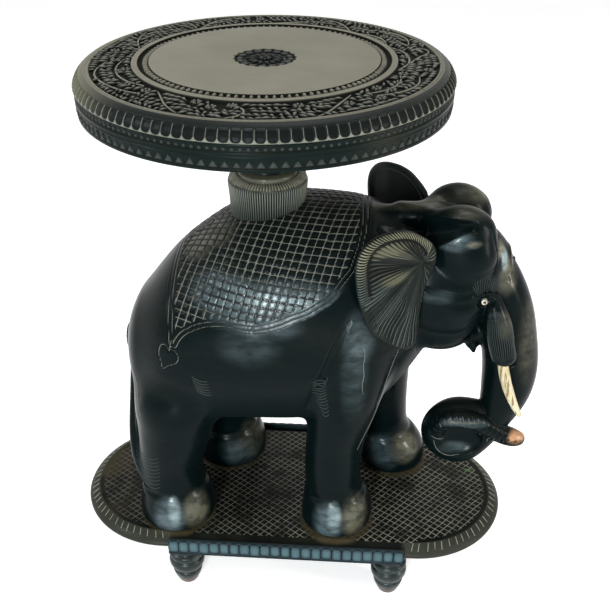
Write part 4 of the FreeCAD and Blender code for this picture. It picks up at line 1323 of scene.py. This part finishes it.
def ringOf(name, unit, count, radius, z, finish, body="top", vary=0.05, lean=0.0):
    # the unit repeated round the table's axis
    piece = ringUnits.grow(name, finishes[finish], None, Unit=unit, Count=count, Radius=radius * mm,
                           Middle=((tableX + shiftX) * mm, 0.0, z * mm), Vary=vary, Lean=lean, Seed=1)
    return dress(piece, body)


ringOf("top_teeth", bar("tooth", 5.4, 3.4, 2.0, 0.6), top["toothCount"], 115.4, 632.7, "teeth")
ringOf("rosette_outer", lobe("petal", 11.8, 11.6, 2.0, -0.35, 12, 3, groove=0.5), 16, 19.4, 632.6,
       "rosette", vary=0.03)
ringOf("rosette_middle", lobe("petal", 15.5, 5.2, 2.4, -0.4, 10, 3, groove=0.9), 14, 5.4, 632.6, "rosette",
       vary=0.03)
ringOf("rosette_inner", lobe("petal", 7.0, 3.6, 2.2, 0.3, 8, 3, groove=0.4), 8, 1.0, 633.2, "rosette",
       vary=0.04)
ringOf("rosette_edge", lobe("scallop", 4.4, 9.6, 0.8, 0.0, 8, 2), 20, 29.6, 634.3, "vines")

# vines that swing from the inner ring to the rim: degrees round the top, and mm from its axis
vineLines = [
    [(-10, 133.5), (-3, 140), (4, 149), (9, 158), (12, 166), (16, 168.5), (19, 164)],
    [(-10, 133.5), (-2, 141), (8, 144), (17, 142), (24, 135)],
    [(52, 134), (55, 141), (60, 152), (65, 162), (71, 169.5)], [(24, 157), (31, 166), (41, 167), (49, 159)],
    [(27, 135), (35, 143), (45, 142), (51, 135)],
    [(131, 134), (126, 142), (121, 152), (116, 162), (109, 169.5)],
    [(168, 135), (163, 143), (158, 152), (152, 161), (146, 169)],
    [(74, 160), (82, 149), (92, 141), (101, 137)],
    [(182, 140), (193, 145.8), (203, 146.5), (214, 141), (220, 134.5)],
    [(185, 156), (192, 163), (200, 167.4), (210, 164.5), (218, 159), (226, 151)],
    [(229, 133.5), (233, 139), (237, 146), (243, 158), (249, 168)],
    [(262, 134), (267, 141), (269, 150), (268, 160), (264, 169)],
    [(311, 133.5), (306, 141), (300, 152), (295, 163), (291, 170)],
    [(318, 150), (326, 160), (336, 163), (344, 157)], [(318, 141), (326, 147), (335, 146), (343, 139)]]


def polar(angle, radius, z):
    a = math.radians(angle)
    return (tableX + radius * math.cos(a), radius * math.sin(a), z)


def strandsOf(name, lines, finish, width, body="base", sides=6):
    # round strands along open lines, thin at both ends
    points, edges, thick = [], [], []
    for line in lines:
        first = len(points)
        points += [tuple(place) for place in line]
        edges += [(first + k, first + k + 1) for k in range(len(line) - 1)]
        thick += list(0.45 + 0.55 * np.sin(np.linspace(0.15, math.pi - 0.1, len(line))))
    start = makePiece(name, points, (), {"thick": thick, "high": np.ones(len(points))}, edges)
    return dress(strands.grow(name, finishes[finish], start, Thickness=width / 2 * mm, Sides=sides), body)


def scattered(name, unit, finish, points, turn, grow, lean, body):
    # the unit on each of the places, with its own turn and size
    none = np.zeros(len(points))
    start = makePiece(name, points, (), {"turn": turn, "grow": none + grow, "lean": none + lean})
    return dress(scatterUnits.grow(name, finishes[finish], start, Unit=unit), body)


vines = [[polar(a / 2.6, r, 631.6) for a, r in smoothPath([(a * 2.6, r) for a,
                                                           r in vine])] for vine in vineLines]
strandsOf("top_vines", vines, "vines", 1.9, "top", 8)

# small flowers among the leaves: degrees round the top, and mm from its axis
flowers = [
    (250, 137.5), (257, 145), (264, 138), (324, 137), (326, 150), (317, 157), (334, 145), (305, 152),
    (288, 140), (226, 141), (197, 137), (172, 158), (152, 141), (118, 141), (98, 158), (80, 139), (66, 141),
    (38, 150), (8, 140), (352, 162), (345, 141)]


def flowerPoints():
    points, turn = [], []
    for angle, radius in flowers:
        x, y, z = polar(angle, radius, top["bandGround"])
        for k in range(6):
            a = math.radians(60 * k + angle)
            points.append((x + 1.2 * math.cos(a), y + 1.2 * math.sin(a), z))
            turn.append(a)
    return points, turn


def leafPoints(hand):
    # rows of leaves between the rings, turned to follow the nearest vine and kept off it
    chance = np.random.default_rng(41)
    spots = np.array([p for line in vines for p in line])
    heading = np.concatenate([np.gradient(np.array(line)[:, :2], axis=0) for line in vines])
    points, turn, grow = [], [], []
    for row in range(top["leafRows"]):
        radius = top["firstLeaves"] + row * top["rowGap"]
        count = int(2 * math.pi * radius / top["leafGap"])
        for k in range(count):
            a = (k + 0.5 * (row % 2)) / count * 360 + chance.uniform(-0.5, 0.5)
            r = radius + chance.uniform(-0.8, 0.8)
            place = np.array(polar(a, r, top["bandGround"]))
            away = np.hypot(*(spots[:, :2] - place[:2]).T)
            nearest = int(np.argmin(away))
            side = heading[nearest]
            offset = place[:2] - spots[nearest, :2]
            left = np.sign(side[0] * offset[1] - side[1] * offset[0])
            flow = math.atan2(side[1], side[0]) + left * math.radians(48) + chance.uniform(-0.3, 0.3)
            plain = math.radians(a + 58 - 30 * (row % 2)) + chance.uniform(-0.5, 0.5)
            blend = min(1.0, max(0.0, (away[nearest] - 7) / 9))
            size = chance.uniform(0.78, 1.12)
            bud = min(math.dist(place[:2], polar(*flower, 0)[:2]) for flower in flowers)
            if away[nearest] < 2.4 or bud < 8.5 or (left > 0) != (hand == "left"):
                continue
            course = math.atan2((1 - blend) * math.sin(flow) + blend * math.sin(plain),
                                (1 - blend) * math.cos(flow) + blend * math.cos(plain))
            back = 6.2 * size
            points.append((place[0] - back * math.cos(course), place[1] - back * math.sin(course), place[2]))
            turn.append(course)
            grow.append(size)
    return points, turn, grow


leafLength = 15.0
for hand, bend in (("right", -4.2), ("left", 4.2)):
    leafUnit = lobe("leaf", leafLength, 4.6, 3.0, 0.55, 10, 3, groove=0.7)
    for corner in leafUnit.data.vertices:
        share = corner.co.x / (leafLength * mm)
        corner.co.y += bend * mm * (share ** 2 * 1.6 - share * 0.6)
    leaves = scattered("top_leaves_" + hand, leafUnit, "leaves", *leafPoints(hand), -0.05, "top")
    print("top carved:", len(leaves.data.vertices), "points of leaves bent to the", hand)

scattered("top_flowers", lobe("petal", 4.8, 3.9, 2.4, 0.0, 8, 3), "flowers", *flowerPoints(), 1.0, -0.1,
          "top")

# The apron ring below it, with beads and a row of triangles
apronLine = [
    (170.6, 617.0), (188.4, 617.0), (189.2, 616.2), (189.2, 615.2), (187.6, 614.6), (187.2, 609.6),
    (188.6, 609.0), (188.9, 608.3), (188.3, 607.6), (188.1, 604.6), (188.7, 604.0), (188.4, 603.2),
    (187.2, 602.8), (186.8, 594.6), (187.8, 594.0), (187.5, 591.4), (186.7, 591.0), (170.6, 591.0)]
apron = turnedForm("apron_ring_turned", eased(apronLine, 0.4), 360, (tableX, 0))
dress(apron, "top", finishes["apron"], ["apron_ring"])
ringOf("apron_beads", lobe("bead", 5.6, 5.8, 2.0, 0.0, 8, 2, upright=True), top["beadCount"], 186.6, 614.7,
       "beads", vary=0.06)
ringOf("apron_triangles", wedge("triangle", 10.0, 7.6, 1.4), top["tongueCount"], 186.8, 594.6, "beads",
       vary=0.06)


# The pedestal: a drum standing on the elephant's back, a rounded shoulder, a collar and a neck
pedestal = {
    "sides": 1040,
    "reedCount": 100,
    "reedDepth": 0.9,        # mm
    "hatchCount": 80,
}
pedestalLine = [
    (0, 440), (41, 440), (40.4, 452), (40.6, 470), (41.5, 488), (42.6, 500), (42.9, 505), (41.5, 508.5),
    (37.0, 511.2), (32.6, 512.0), (32.0, 513.0), (32.4, 515.0), (32.0, 517.2), (29.6, 518.2), (27.2, 520),
    (26.8, 530), (27, 552), (28.2, 562), (31.4, 570), (35.6, 575.6), (36, 577), (0, 577)]


def reededPedestal():
    line = divided(eased(pedestalLine[::-1], 1.2), 2.4)
    piece = turnedForm("pedestal_turned", line, pedestal["sides"], (tableX, 0), True)
    rows = line[1:-1]
    run = runAlong(rows)
    first = run[np.argmax((rows[:, 1] < 504) & (rows[:, 0] > 40))]
    last = run[np.argmax((rows[:, 1] < 443) & (rows[:, 0] > 39))]
    return tongues.grow("pedestal_turned", finishes["reeds"], piece, Count=pedestal["reedCount"],
                        Depth=pedestal["reedDepth"] * mm, Radius=0.0418, First=first - 4.0, Last=last,
                        Ridge=0.55, Soft=0.5)


dress(reededPedestal(), "base", None, ["pedestal"])
ringOf("pedestal_hatch", bar("cut", 9.4, 1.4, 0.9, 0.4), pedestal["hatchCount"], 33.2, 512.9, "hatch",
       "base", 0.06, 0.5)
print("apron and pedestal turned")


# The plinth board with its moulded edge, from the middle of the top out and down and back under
def roundedBoard(name, section, arcSides=96, runSides=40):
    half = plinth["width"] / 2
    straight = plinth["length"] / 2 - half
    turn = np.linspace(-math.pi / 2, math.pi / 2, arcSides + 1)
    run = np.linspace(-straight, straight, runSides + 1)[1:-1]
    spine = np.concatenate([np.full(arcSides + 1, straight), run[::-1], np.full(arcSides + 1, -straight),
                            run])
    angle = np.concatenate([turn, np.full(len(run), math.pi / 2), turn + math.pi,
                            np.full(len(run), -math.pi / 2)])
    count = len(spine)
    points = []
    for inset, z in section:
        r = half - inset
        points += list(np.stack([spine + r * np.cos(angle), r * np.sin(angle), np.full(count, z)], 1))
    last = (len(section) - 1) * count
    ends = [tuple(range(count)), tuple(range(last + count - 1, last - 1, -1))]
    return makePiece(name, points, bands(len(section), count) + ends, sharp=32)


plinthSection = eased([(16, 82), (13.4, 82), (12.6, 81.6), (6, 78.2), (1.4, 74.2), (0.2, 72.2), (0, 70.5),
                       (0.6, 68.6),
                       (2.2, 68), (16, 68)], 0.6)
dress(roundedBoard("plinth_board_carved", plinthSection), "base", finishes["plinth"], ["plinth_board"])


def notches():
    # thin ridges across the sloping edge of each rounded end
    radius = plinth["width"] / 2
    count = int(math.pi * radius / plinth["notchPitch"])
    chance = np.random.default_rng(7)
    points, turn, grow = [], [], []
    for end in (-1, 1):
        for k in range(count + 1):
            a = -math.pi / 2 + math.pi * (k + chance.uniform(-0.12, 0.12)) / count
            a = a if end > 0 else a + math.pi
            spine = end * (plinth["length"] / 2 - radius)
            r = radius - 13.0
            points.append((spine + r * math.cos(a), r * math.sin(a), 81.9))
            turn.append(a - end * 0.25)
            grow.append(chance.uniform(0.85, 1.05))
    return scattered("plinth_notches", bar("notch", 10.4, 1.5, 1.1, 0.3), "notches", points, turn, grow,
                     0.58, "base")


notches()


stripHalf = 141.0


def strip(name, side):
    # a straight moulding let into the long edge
    section = eased([(0, 82.6), (3.0, 83), (4.3, 82.2), (4.7, 78), (4.4, 70), (4.3, 67.0), (5.9, 66.2),
                     (5.9, 63.6), (4.8, 62.2), (0, 62)], 0.5)
    along = np.linspace(-stripHalf, stripHalf, 95)
    count = len(section)
    points = [(x, side * (plinth["width"] / 2 + out), z) for x in along for out, z in section]
    last = (len(along) - 1) * count
    faces = bands(len(along), count, True)
    faces += [tuple(range(count - 1, -1, -1)), tuple(range(last, last + count))]
    return makePiece(name, points, faces if side < 0 else [face[::-1] for face in faces], sharp=40)


for sideName, side in (("right", -1), ("left", 1)):
    node = sideName + "_edge_strip"
    dress(strip(node + "_moulded", side), "base", finishes["strips"], [node])
    unit = lobe("petal", 18.8, 13.0, 1.7, -0.05, 12, 3, square=0.5, upright=True)
    step = 2 * stripHalf / plinth["petals"]
    first = ((-stripHalf + step / 2 + shiftX) * mm, side * 117.4 * mm, 83.2 * mm)
    dress(rowUnits.grow(node + "_petals", finishes["petals"], None, Unit=unit, Count=plinth["petals"],
                        First=first, Step=(step * mm, 0, 0), Turn=side * math.pi / 2, Vary=0.07, Seed=3),
          "base")

footLine = [
    (0, 68), (18, 68), (18, 66), (15.5, 63.5), (15.5, 61.5), (18, 59.5), (19.6, 57), (19.6, 54.5),
    (17.2, 52.4), (17.2, 51.2), (20.6, 48.8), (21.4, 46), (20.8, 43), (18.9, 41.4), (18.9, 40.2), (21.3, 38),
    (21.9, 34.5), (21.4, 30), (19.4, 25.6), (16.9, 23), (16.7, 21.8), (17.9, 20.2), (18.0, 17.5), (16.4, 12),
    (14.0, 6), (12.2, 1.6), (11, 0), (0, 0)]
footPlace = (125, 94)
for name, end, side in (("front_right_foot", 1, -1), ("front_left_foot", 1, 1), ("rear_right_foot", -1, -1),
                        ("rear_left_foot", -1, 1)):
    dress(turnedForm(name + "_turned", eased(footLine), 72, (end * footPlace[0], side * footPlace[1])),
          "base", finishes["feet"], [name])
print("plinth, strips and feet set")


# Fine ridges laid on the carving: lashes, lines of the tusk sheaths, wrinkles, the hair of the tail, and pale
# strands for scratches and for painted glint lines on edges and crests
def between(a, b, count=9, bow=(0, 0, 0)):
    share = np.linspace(0, 1, count)[:, None]
    return np.array(a) * (1 - share) + np.array(b) * share + np.array(bow) * 4 * share * (1 - share)


lashes, wrinkles = [], []
for side in (-1, 1):
    for k in range(11):
        a = math.radians(28 + k * 12.5)
        c, s = math.cos(a), math.sin(a)
        inner = (211 + 8.5 * c, side * (50 - 8 * c), 401 + 4 * s)
        outer = (211 + 15.5 * c, side * (46 - 10 * c), 404 + 17 * s)
        lashes.append(headClay.onto(between(inner, outer), -0.15))
    for k in range(15):
        across = -1 + k / 7
        high = (224 + across * 5, side * (52 - abs(across) * 2), 381 - abs(across) * 3)
        low = (238 + across * 12, side * (58 - abs(across) * 7), 316 + across * 2)
        lashes.append(headClay.onto(between(high, low, 14, (across * 4, 0, 0)), -0.1))
for k in range(6):
    z = 316 - k * 4.4
    wrinkles.append(bodyClay.onto(between((-100 + k * 0.7, -108, z + 3), (-82 + k * 0.4, -98, z - 2), 8,
                                          (0, 0, -3)), -0.1))
for k in range(13):
    z = 316 - k * 4.4
    wrinkles.append(bodyClay.onto(between((30 + k * 0.5, -102, z), (47 - k * 0.2, -106, z + 4), 8,
                                          (0, 0, -3)), -0.1))
for k in range(9):
    start = (-186 + k * 0.8, -60 - k * 0.6, 196 - k * 5.0)
    end = (-146 - k * 0.5, -99, 196 - k * 6.0)
    wrinkles.append(bodyClay.onto(between(start, end, 12, (0, 0, -9)), -0.1))
scratches_and_glints = []
# the chest's edge and the rump's fold are painted highlight lines; the line down the shoulder is a scratch
for row in ([(131.7, -72, 343), (118, -76, 297), (104.6, -79, 251), (95, -84, 226), (87, -88, 206)],
            [(86, -98, 356), (88.2, -98, 345), (86.4, -99, 333), (87.6, -99, 320), (85.6, -99, 308),
             (86.9, -98, 296)],
            [(-176, -62, 300), (-170.8, -70, 277), (-163, -78, 260), (-156, -84, 246)]):
    scratches_and_glints.append(bodyClay.onto(smoothPath(row, 5), 0.05))
for row in ([(183, -27, 202), (189, -27, 206), (197, -27, 208), (207, -27, 207), (217, -27, 203),
             (229, -27, 194.5)],
            [(173, -26, 186), (176, -26, 176), (183, -26, 167), (193, -26, 162), (205, -26, 161)],
            [(171, -26, 192), (176, -26, 187), (183, -25, 185)]):
    scratches_and_glints.append(coilClay.onto(smoothPath(row, 5), 0.05))
whorlPath, whorlRun = whorl()
for k in range(5, 12):
    # a glint on the crest of each ring
    x, y, z, r = [np.interp(7.0 * k, whorlRun, whorlPath[:, i]) for i in range(4)]
    scratches_and_glints.append(coilClay.onto(between((x, y - r * 0.75, z + r * 0.66), (x + 1, y - r, z + r * 0.2), 5),
                                   0.2))
for x, z in ((238, 191), (244, 191)):
    scratches_and_glints.append(coilClay.onto(between((x, -36, z + 5.5), (x - 1, -36, z - 5.5), 7, (-1.5, 0, 0)), 0.1))
strandsOf("elephant_lashes", lashes, "hairs", 0.85)
strandsOf("elephant_wrinkles", wrinkles, "hairs", 1.3)
strandsOf("elephant_scratches", scratches_and_glints, "scratches_and_glints", 0.9)
print("fine lines laid:", len(lashes) + len(wrinkles) + len(scratches_and_glints))


# The ears: thin leaves with a hatched rim, each on its own slant
ear = {
    "middle": (13.0, 447.0),  # mm from the root and above the floor, where the carved lines meet
    "rim": 11.5,             # mm from the edge to the end of the raised rim
    "rimHigh": 4.2,          # how far the rim stands out, and the leaf inside it
    "leafHigh": 2.0,
    "hatch": 3.3,            # from one short line of the rim to the next
    "stroke": 6.4,           # from one cut of the gouge to the next, at the edge
    "hair": 3.1,             # from one fine line of the dish to the next
}
# how high the folds stand round the root, by degrees from straight back
foldTable = [
    (-180, 0.5), (-122, 0.35), (-104, 0.75), (-90, 0.3), (-76, 0.8), (-66, 0.35), (-54, 0.8), (-42, 0.25),
    (-28, 1.0), (-12, 0.45), (6, 0.15), (26, 0.95), (46, 0.45), (70, 0.3), (100, 0.5), (180, 0.5)]
earOutline = [
    (45, 487.6), (62, 486.4), (76, 481), (85.5, 471), (89.5, 458), (89, 440), (86, 420), (79, 398),
    (68, 373), (49, 355), (33, 343), (22, 340.5), (15, 347), (13, 363), (12, 385), (5, 421), (-3, 440),
    (-3, 456), (6, 469), (18, 478), (30, 484.5)]


def earLeaf(name, side, slant, spokes=1100, rings=26):
    line = smoothPath(earOutline + earOutline[:1], 30)[:-1]
    middle = np.array(ear["middle"])
    away = line - middle
    heading = np.arctan2(away[:, 1], away[:, 0])
    order = np.argsort(heading)
    heading, length = heading[order], np.hypot(away[:, 0], away[:, 1])[order]
    # spokes set at equal steps along the edge
    turn = np.linspace(-math.pi, math.pi, 4000)
    reach = np.interp(turn, heading, length, period=2 * math.pi)
    edge = reach[:, None] * np.stack([np.cos(turn), np.sin(turn)], 1)
    every = runAlong(edge)
    run = np.arange(spokes) * every[-1] / spokes
    turn = np.interp(run, every, turn)
    reach = np.interp(turn, heading, length, period=2 * math.pi)
    outward = np.stack([np.cos(turn), np.sin(turn)], 1)
    degrees = np.degrees(turn)
    hatched = np.clip((degrees + 30) / 8, 0, 1) * np.clip((122 - degrees) / 6, 0, 1)
    haired = np.clip((degrees + 100) / 14, 0, 1) * np.clip((-14 - degrees) / 10, 0, 1) * 0.75 + 0.25
    folds = np.array(foldTable)
    fold = smoothTable(folds[:, 0], folds[:, 1], degrees)
    chance = np.random.default_rng(19)
    cuts = {}
    for key in ("stroke", "hair"):
        count = int(run[-1] / ear[key]) + 2
        cuts[key] = (count, chance.uniform(-2, 9, count), chance.uniform(26, 80, count),
                     chance.uniform(0.5, 1.0, count))

    def cutBy(key, left):
        # cuts that start and stop at chance places and sway a little on the way
        count, start, stop, force = cuts[key]
        sway = 1.6 * np.sin(left / 12 + 4 * np.sin(run / 37)) + 0.8 * np.sin(left / 6 + run / 19)
        place = (run + sway) / ear[key]
        k = np.floor(place).astype(int) % count
        opened = np.clip((left - start[k]) / 4, 0, 1) * np.clip((stop[k] - left) / 9, 0, 1)
        return (1 - 4 * np.abs(place - np.floor(place) - 0.5)) * opened * force[k]

    shares = 1 - (1 - np.linspace(0, 1, rings + 1)[1:]) ** 1.5
    points, shade, front = [], [], []
    for face in (1, -1):
        for share in shares if face > 0 else shares[::-1][1:]:
            spot = middle + share * reach[:, None] * outward
            left = (1 - share) * reach
            bead = np.clip(left / ear["rim"], 0, 1)
            rise = ear["rimHigh"] * np.sqrt(np.clip(1 - (2 * bead - 1) ** 2, 0, 1)) * (bead < 1)
            rise = np.maximum(rise, ear["leafHigh"] * np.clip(bead * 2 - 1, 0, 1))
            mark = np.full(spokes, 0.5)
            if face > 0:
                onRim = np.clip(left / 1.5, 0, 1) * np.clip((ear["rim"] + 0.5 - left) / 1.5, 0, 1) * hatched
                wave = 1 - 2 * np.abs(np.cos(math.pi * run / ear["hatch"])) ** 3
                dish = np.clip((left - ear["rim"] * hatched) / 5, 0, 1) * np.clip(share * 3.5, 0, 1)
                ditch = np.exp(-((left - ear["rim"] - 1.6) / 1.8) ** 2) * hatched
                coarse = cutBy("stroke", left) * dish
                hairs = cutBy("hair", left) * dish * haired
                rise = rise * (1 - 0.5 * (1 - hatched) * (bead < 0.9))
                rise = (rise + 0.6 * wave * onRim + 0.6 * coarse + 0.45 * hairs + 2.4 * dish * (fold - 0.35)
                        - 0.7 * ditch)
                mark = (mark + 0.8 * wave * onRim + 0.5 * coarse + 0.5 * hairs + 0.45 * dish * (fold - 0.6)
                        - 0.5 * ditch)
            points += list(np.stack([spot[:, 0], face * np.maximum(rise, 0.0), spot[:, 1]], 1))
            shade += list(np.clip(mark, 0, 1))
            front += [1.0 if face > 0 else 0.0] * spokes
    points += [(middle[0], 2.4, middle[1]), (middle[0], -2.2, middle[1])]
    shade += [0.5, 0.5]
    front += [1.0, 0.0]
    count = 2 * rings - 1
    last = (count - 1) * spokes
    faces = bands(count, spokes)
    faces += [(count * spokes, j, (j + 1) % spokes) for j in range(spokes)]
    faces += [(count * spokes + 1, last + (j + 1) % spokes, last + j) for j in range(spokes)]
    s, out, z = np.array(points).T
    c, d = math.cos(slant), math.sin(slant)
    world = np.stack([152 - c * s + d * out, side * (60 + d * s + c * out), z], 1)
    if side < 0:
        faces = [face[::-1] for face in faces]
    return makePiece(name, world, faces, {"shade": shade, "front": front})


def earFinish(name):
    # khaki on the crests of the hatching and the dish, black in the cuts, plain black behind; the crests
    # carry painted highlight as well as wear, blue-grey low and khaki high, with painted sheen near each
    # ear's top and on the back of the far ear
    f = Finish(name)
    grain = f.noise(45, 4.0, 0.6)
    shade = f.own("shade")
    crest = shade.step(0.5, 0.95) * f.own("front")
    high = f.z.step(425, 475)
    color = f.mix(shade.step(0.1, 0.55), (0.0010, 0.0018, 0.0016), (0.0085, 0.0115, 0.0095))
    # crest colour: a painted highlight tint, blue-grey low on the ear and khaki near its top
    warm = f.mix(high, (0.066, 0.084, 0.076), (0.205, 0.200, 0.135))
    color = f.mix((crest * (0.40 + grain * 1.0)).limit(), color, warm)
    # painted khaki sheen, with wear, near the top of each ear
    sheenAndWorn = f.near([((104, -88, 468), (24, 22, 7), 1.0), ((114, -84, 434), (22, 14, 8), 0.8),
                    ((104, 96, 468), (24, 22, 7), 1.0)]).limit()
    color = f.mix((sheenAndWorn * f.own("front") * (shade.step(0.25, 0.7) * 0.9 + 0.1)).limit(), color,
                  (0.108, 0.104, 0.066))
    # painted sheen on the back of the far ear
    farEarSheen = f.near([((97, 104, 462), (14, 22, 34), 1.0)]) * (1 - f.own("front"))
    color = f.mix(farEarSheen.limit(), color, (0.026, 0.028, 0.026))
    relief = f.relief(grain + f.noise(500, 2.0) * 0.2, 0.0006, 0.5)
    return f.close(color, 0.33 + grain * 0.2, Normal=relief, IOR=1.38, Specular_IOR_Level=0.13)


finishes["ear"] = earFinish("ebony_ear")
for sideName, side, slant in (("right", -1, 28.0), ("left", 1, 40.0)):
    node = sideName + "_ear"
    dress(earLeaf(node + "_carved", side, math.radians(slant)), "base", finishes["ear"], [node])
print("ears carved")


# Tusks, eyes, the post, its boss and the screws keep the shapes they were built with
def boneFinish(name, pale=(0.62, 0.56, 0.37)):
    f = Finish(name)
    crack = f.noise(26, 5.0, 0.65, (9, 9, 0.6))
    stain = f.noise(38, 3.0, 0.6)
    color = f.mix(stain.step(0.4, 0.7) * 0.7, pale, (0.50, 0.40, 0.19))
    color = f.mix(crack.step(0.555, 0.60) * 0.85, color, (0.17, 0.085, 0.030))
    relief = f.relief(crack * -1.0 + stain * 0.3, 0.0006, 0.6)
    return f.close(color, 0.36 + stain * 0.2, Normal=relief, IOR=1.54, Specular_IOR_Level=0.4)


def plainWoodFinish(name):
    f = Finish(name)
    lines = f.noise(20, 6.0, 0.65, (6, 6, 0.6))
    color = f.mix(lines, (0.23, 0.135, 0.070), (0.115, 0.060, 0.028))
    return f.close(color, 0.5 + lines * 0.2, Normal=f.relief(lines, 0.0006, 0.6))


def steelFinish(name):
    f = Finish(name)
    scratch = f.noise(300, 3.0, 0.6, (8, 1, 1))
    rust = f.noise(120, 4.0, 0.6).step(0.55, 0.75)
    color = f.mix(rust, (0.36, 0.35, 0.33), (0.12, 0.065, 0.035))
    return f.close(color, 0.34 + scratch * 0.15 + rust * 0.3, Metallic=1 - rust * 0.8)


def pupilFinish(name):
    f = Finish(name)
    cloud = f.noise(300, 2.0)
    return f.close(f.mix(cloud, (0.004, 0.004, 0.004), (0.010, 0.009, 0.008)), 0.12 + cloud * 0.1)


kept = (
    (boneFinish("bone_worn"), ("left_tusk", "right_tusk")),
    (boneFinish("bone_eye", (0.66, 0.64, 0.55)), ("left_eye_ring", "right_eye_ring")),
    (plainWoodFinish("plain_wood_turned"), ("centre_post", "top_boss")),
    (steelFinish("steel_screws"), ("leg_screws", "boss_screws")),
    (pupilFinish("pupil_black"), ("left_pupil", "right_pupil")))
for finish, nodes in kept:
    for node in nodes:
        for slot in bpy.data.objects[node].material_slots:
            slot.material = finish


# Camera, floor and light, with the camera where the photograph was taken from
camera = bpy.data.cameras.new("camera")
camera.sensor_width = 36.0
camera.lens = 54.885
camera.clip_end = 50.0
cameraObject = linked("camera", camera)
cameraObject.location = (0.06625, -0.9117, 0.9024)
cameraObject.rotation_euler = (math.radians(90 - 31.196), 0, math.radians(3.91))
bpy.context.scene.camera = cameraObject


def lamp(name, place, target, size, power, color):
    light = bpy.data.lights.new(name, "AREA")
    light.shape = "RECTANGLE"
    light.size, light.size_y = size
    light.energy = power
    light.color = color
    holder = linked(name, light)
    holder.location = place
    aim = Vector(target) - Vector(place)
    holder.rotation_euler = aim.to_track_quat("-Z", "Y").to_euler()


lamp("door in front", (-0.32, -2.2, 0.80), (0, 0, 0.36), (0.34, 1.1), 46, (0.90, 0.97, 1.0))
lamp("left window", (-1.7, -0.7, 1.45), (0, 0, 0.42), (0.40, 0.55), 13, (0.92, 0.98, 1.0))
lamp("right window", (2.0, -0.75, 0.75), (0, 0, 0.40), (0.30, 1.0), 20, (1.0, 0.97, 0.90))
lamp("ceiling", (0.2, 0.3, 2.4), (0, 0, 0.3), (1.2, 1.2), 21, (1.0, 0.99, 0.96))

world = bpy.data.worlds.new("studio")
world.use_nodes = True
bpy.context.scene.world = world
sky = Tree(world.node_tree)
sky.group.nodes.clear()


def seenRays(tree):
    # 1 for what the camera sees straight, in a gloss or through glass
    rays = tree.node("ShaderNodeLightPath")
    return (rays.out("Is Camera Ray") + rays.out("Is Glossy Ray") + rays.out("Is Transmission Ray")).limit()


background = sky.node("ShaderNodeBackground", None,
                      {"Color": (1, 1, 1), "Strength": 0.30 + seenRays(sky) * 0.70})
sky.node("ShaderNodeOutputWorld", None, {"Surface": background})

floorPiece = makePiece("floor", [(-4, -4, 0), (4, -4, 0), (4, 4, 0), (-4, 4, 0)], [(0, 1, 2, 3)], metres=True)
floorFinish = Finish("floor_white")
white = floorFinish.mix(seenRays(floorFinish), (0, 0, 0), (0.60, 0.60, 0.60))
floorPiece.data.materials.append(floorFinish.close((0.88, 0.88, 0.88), 0.9, Emission_Color=white,
                                                   Emission_Strength=1.0))

bpy.context.scene.view_settings.view_transform = "Standard"
print("camera, floor and light set")
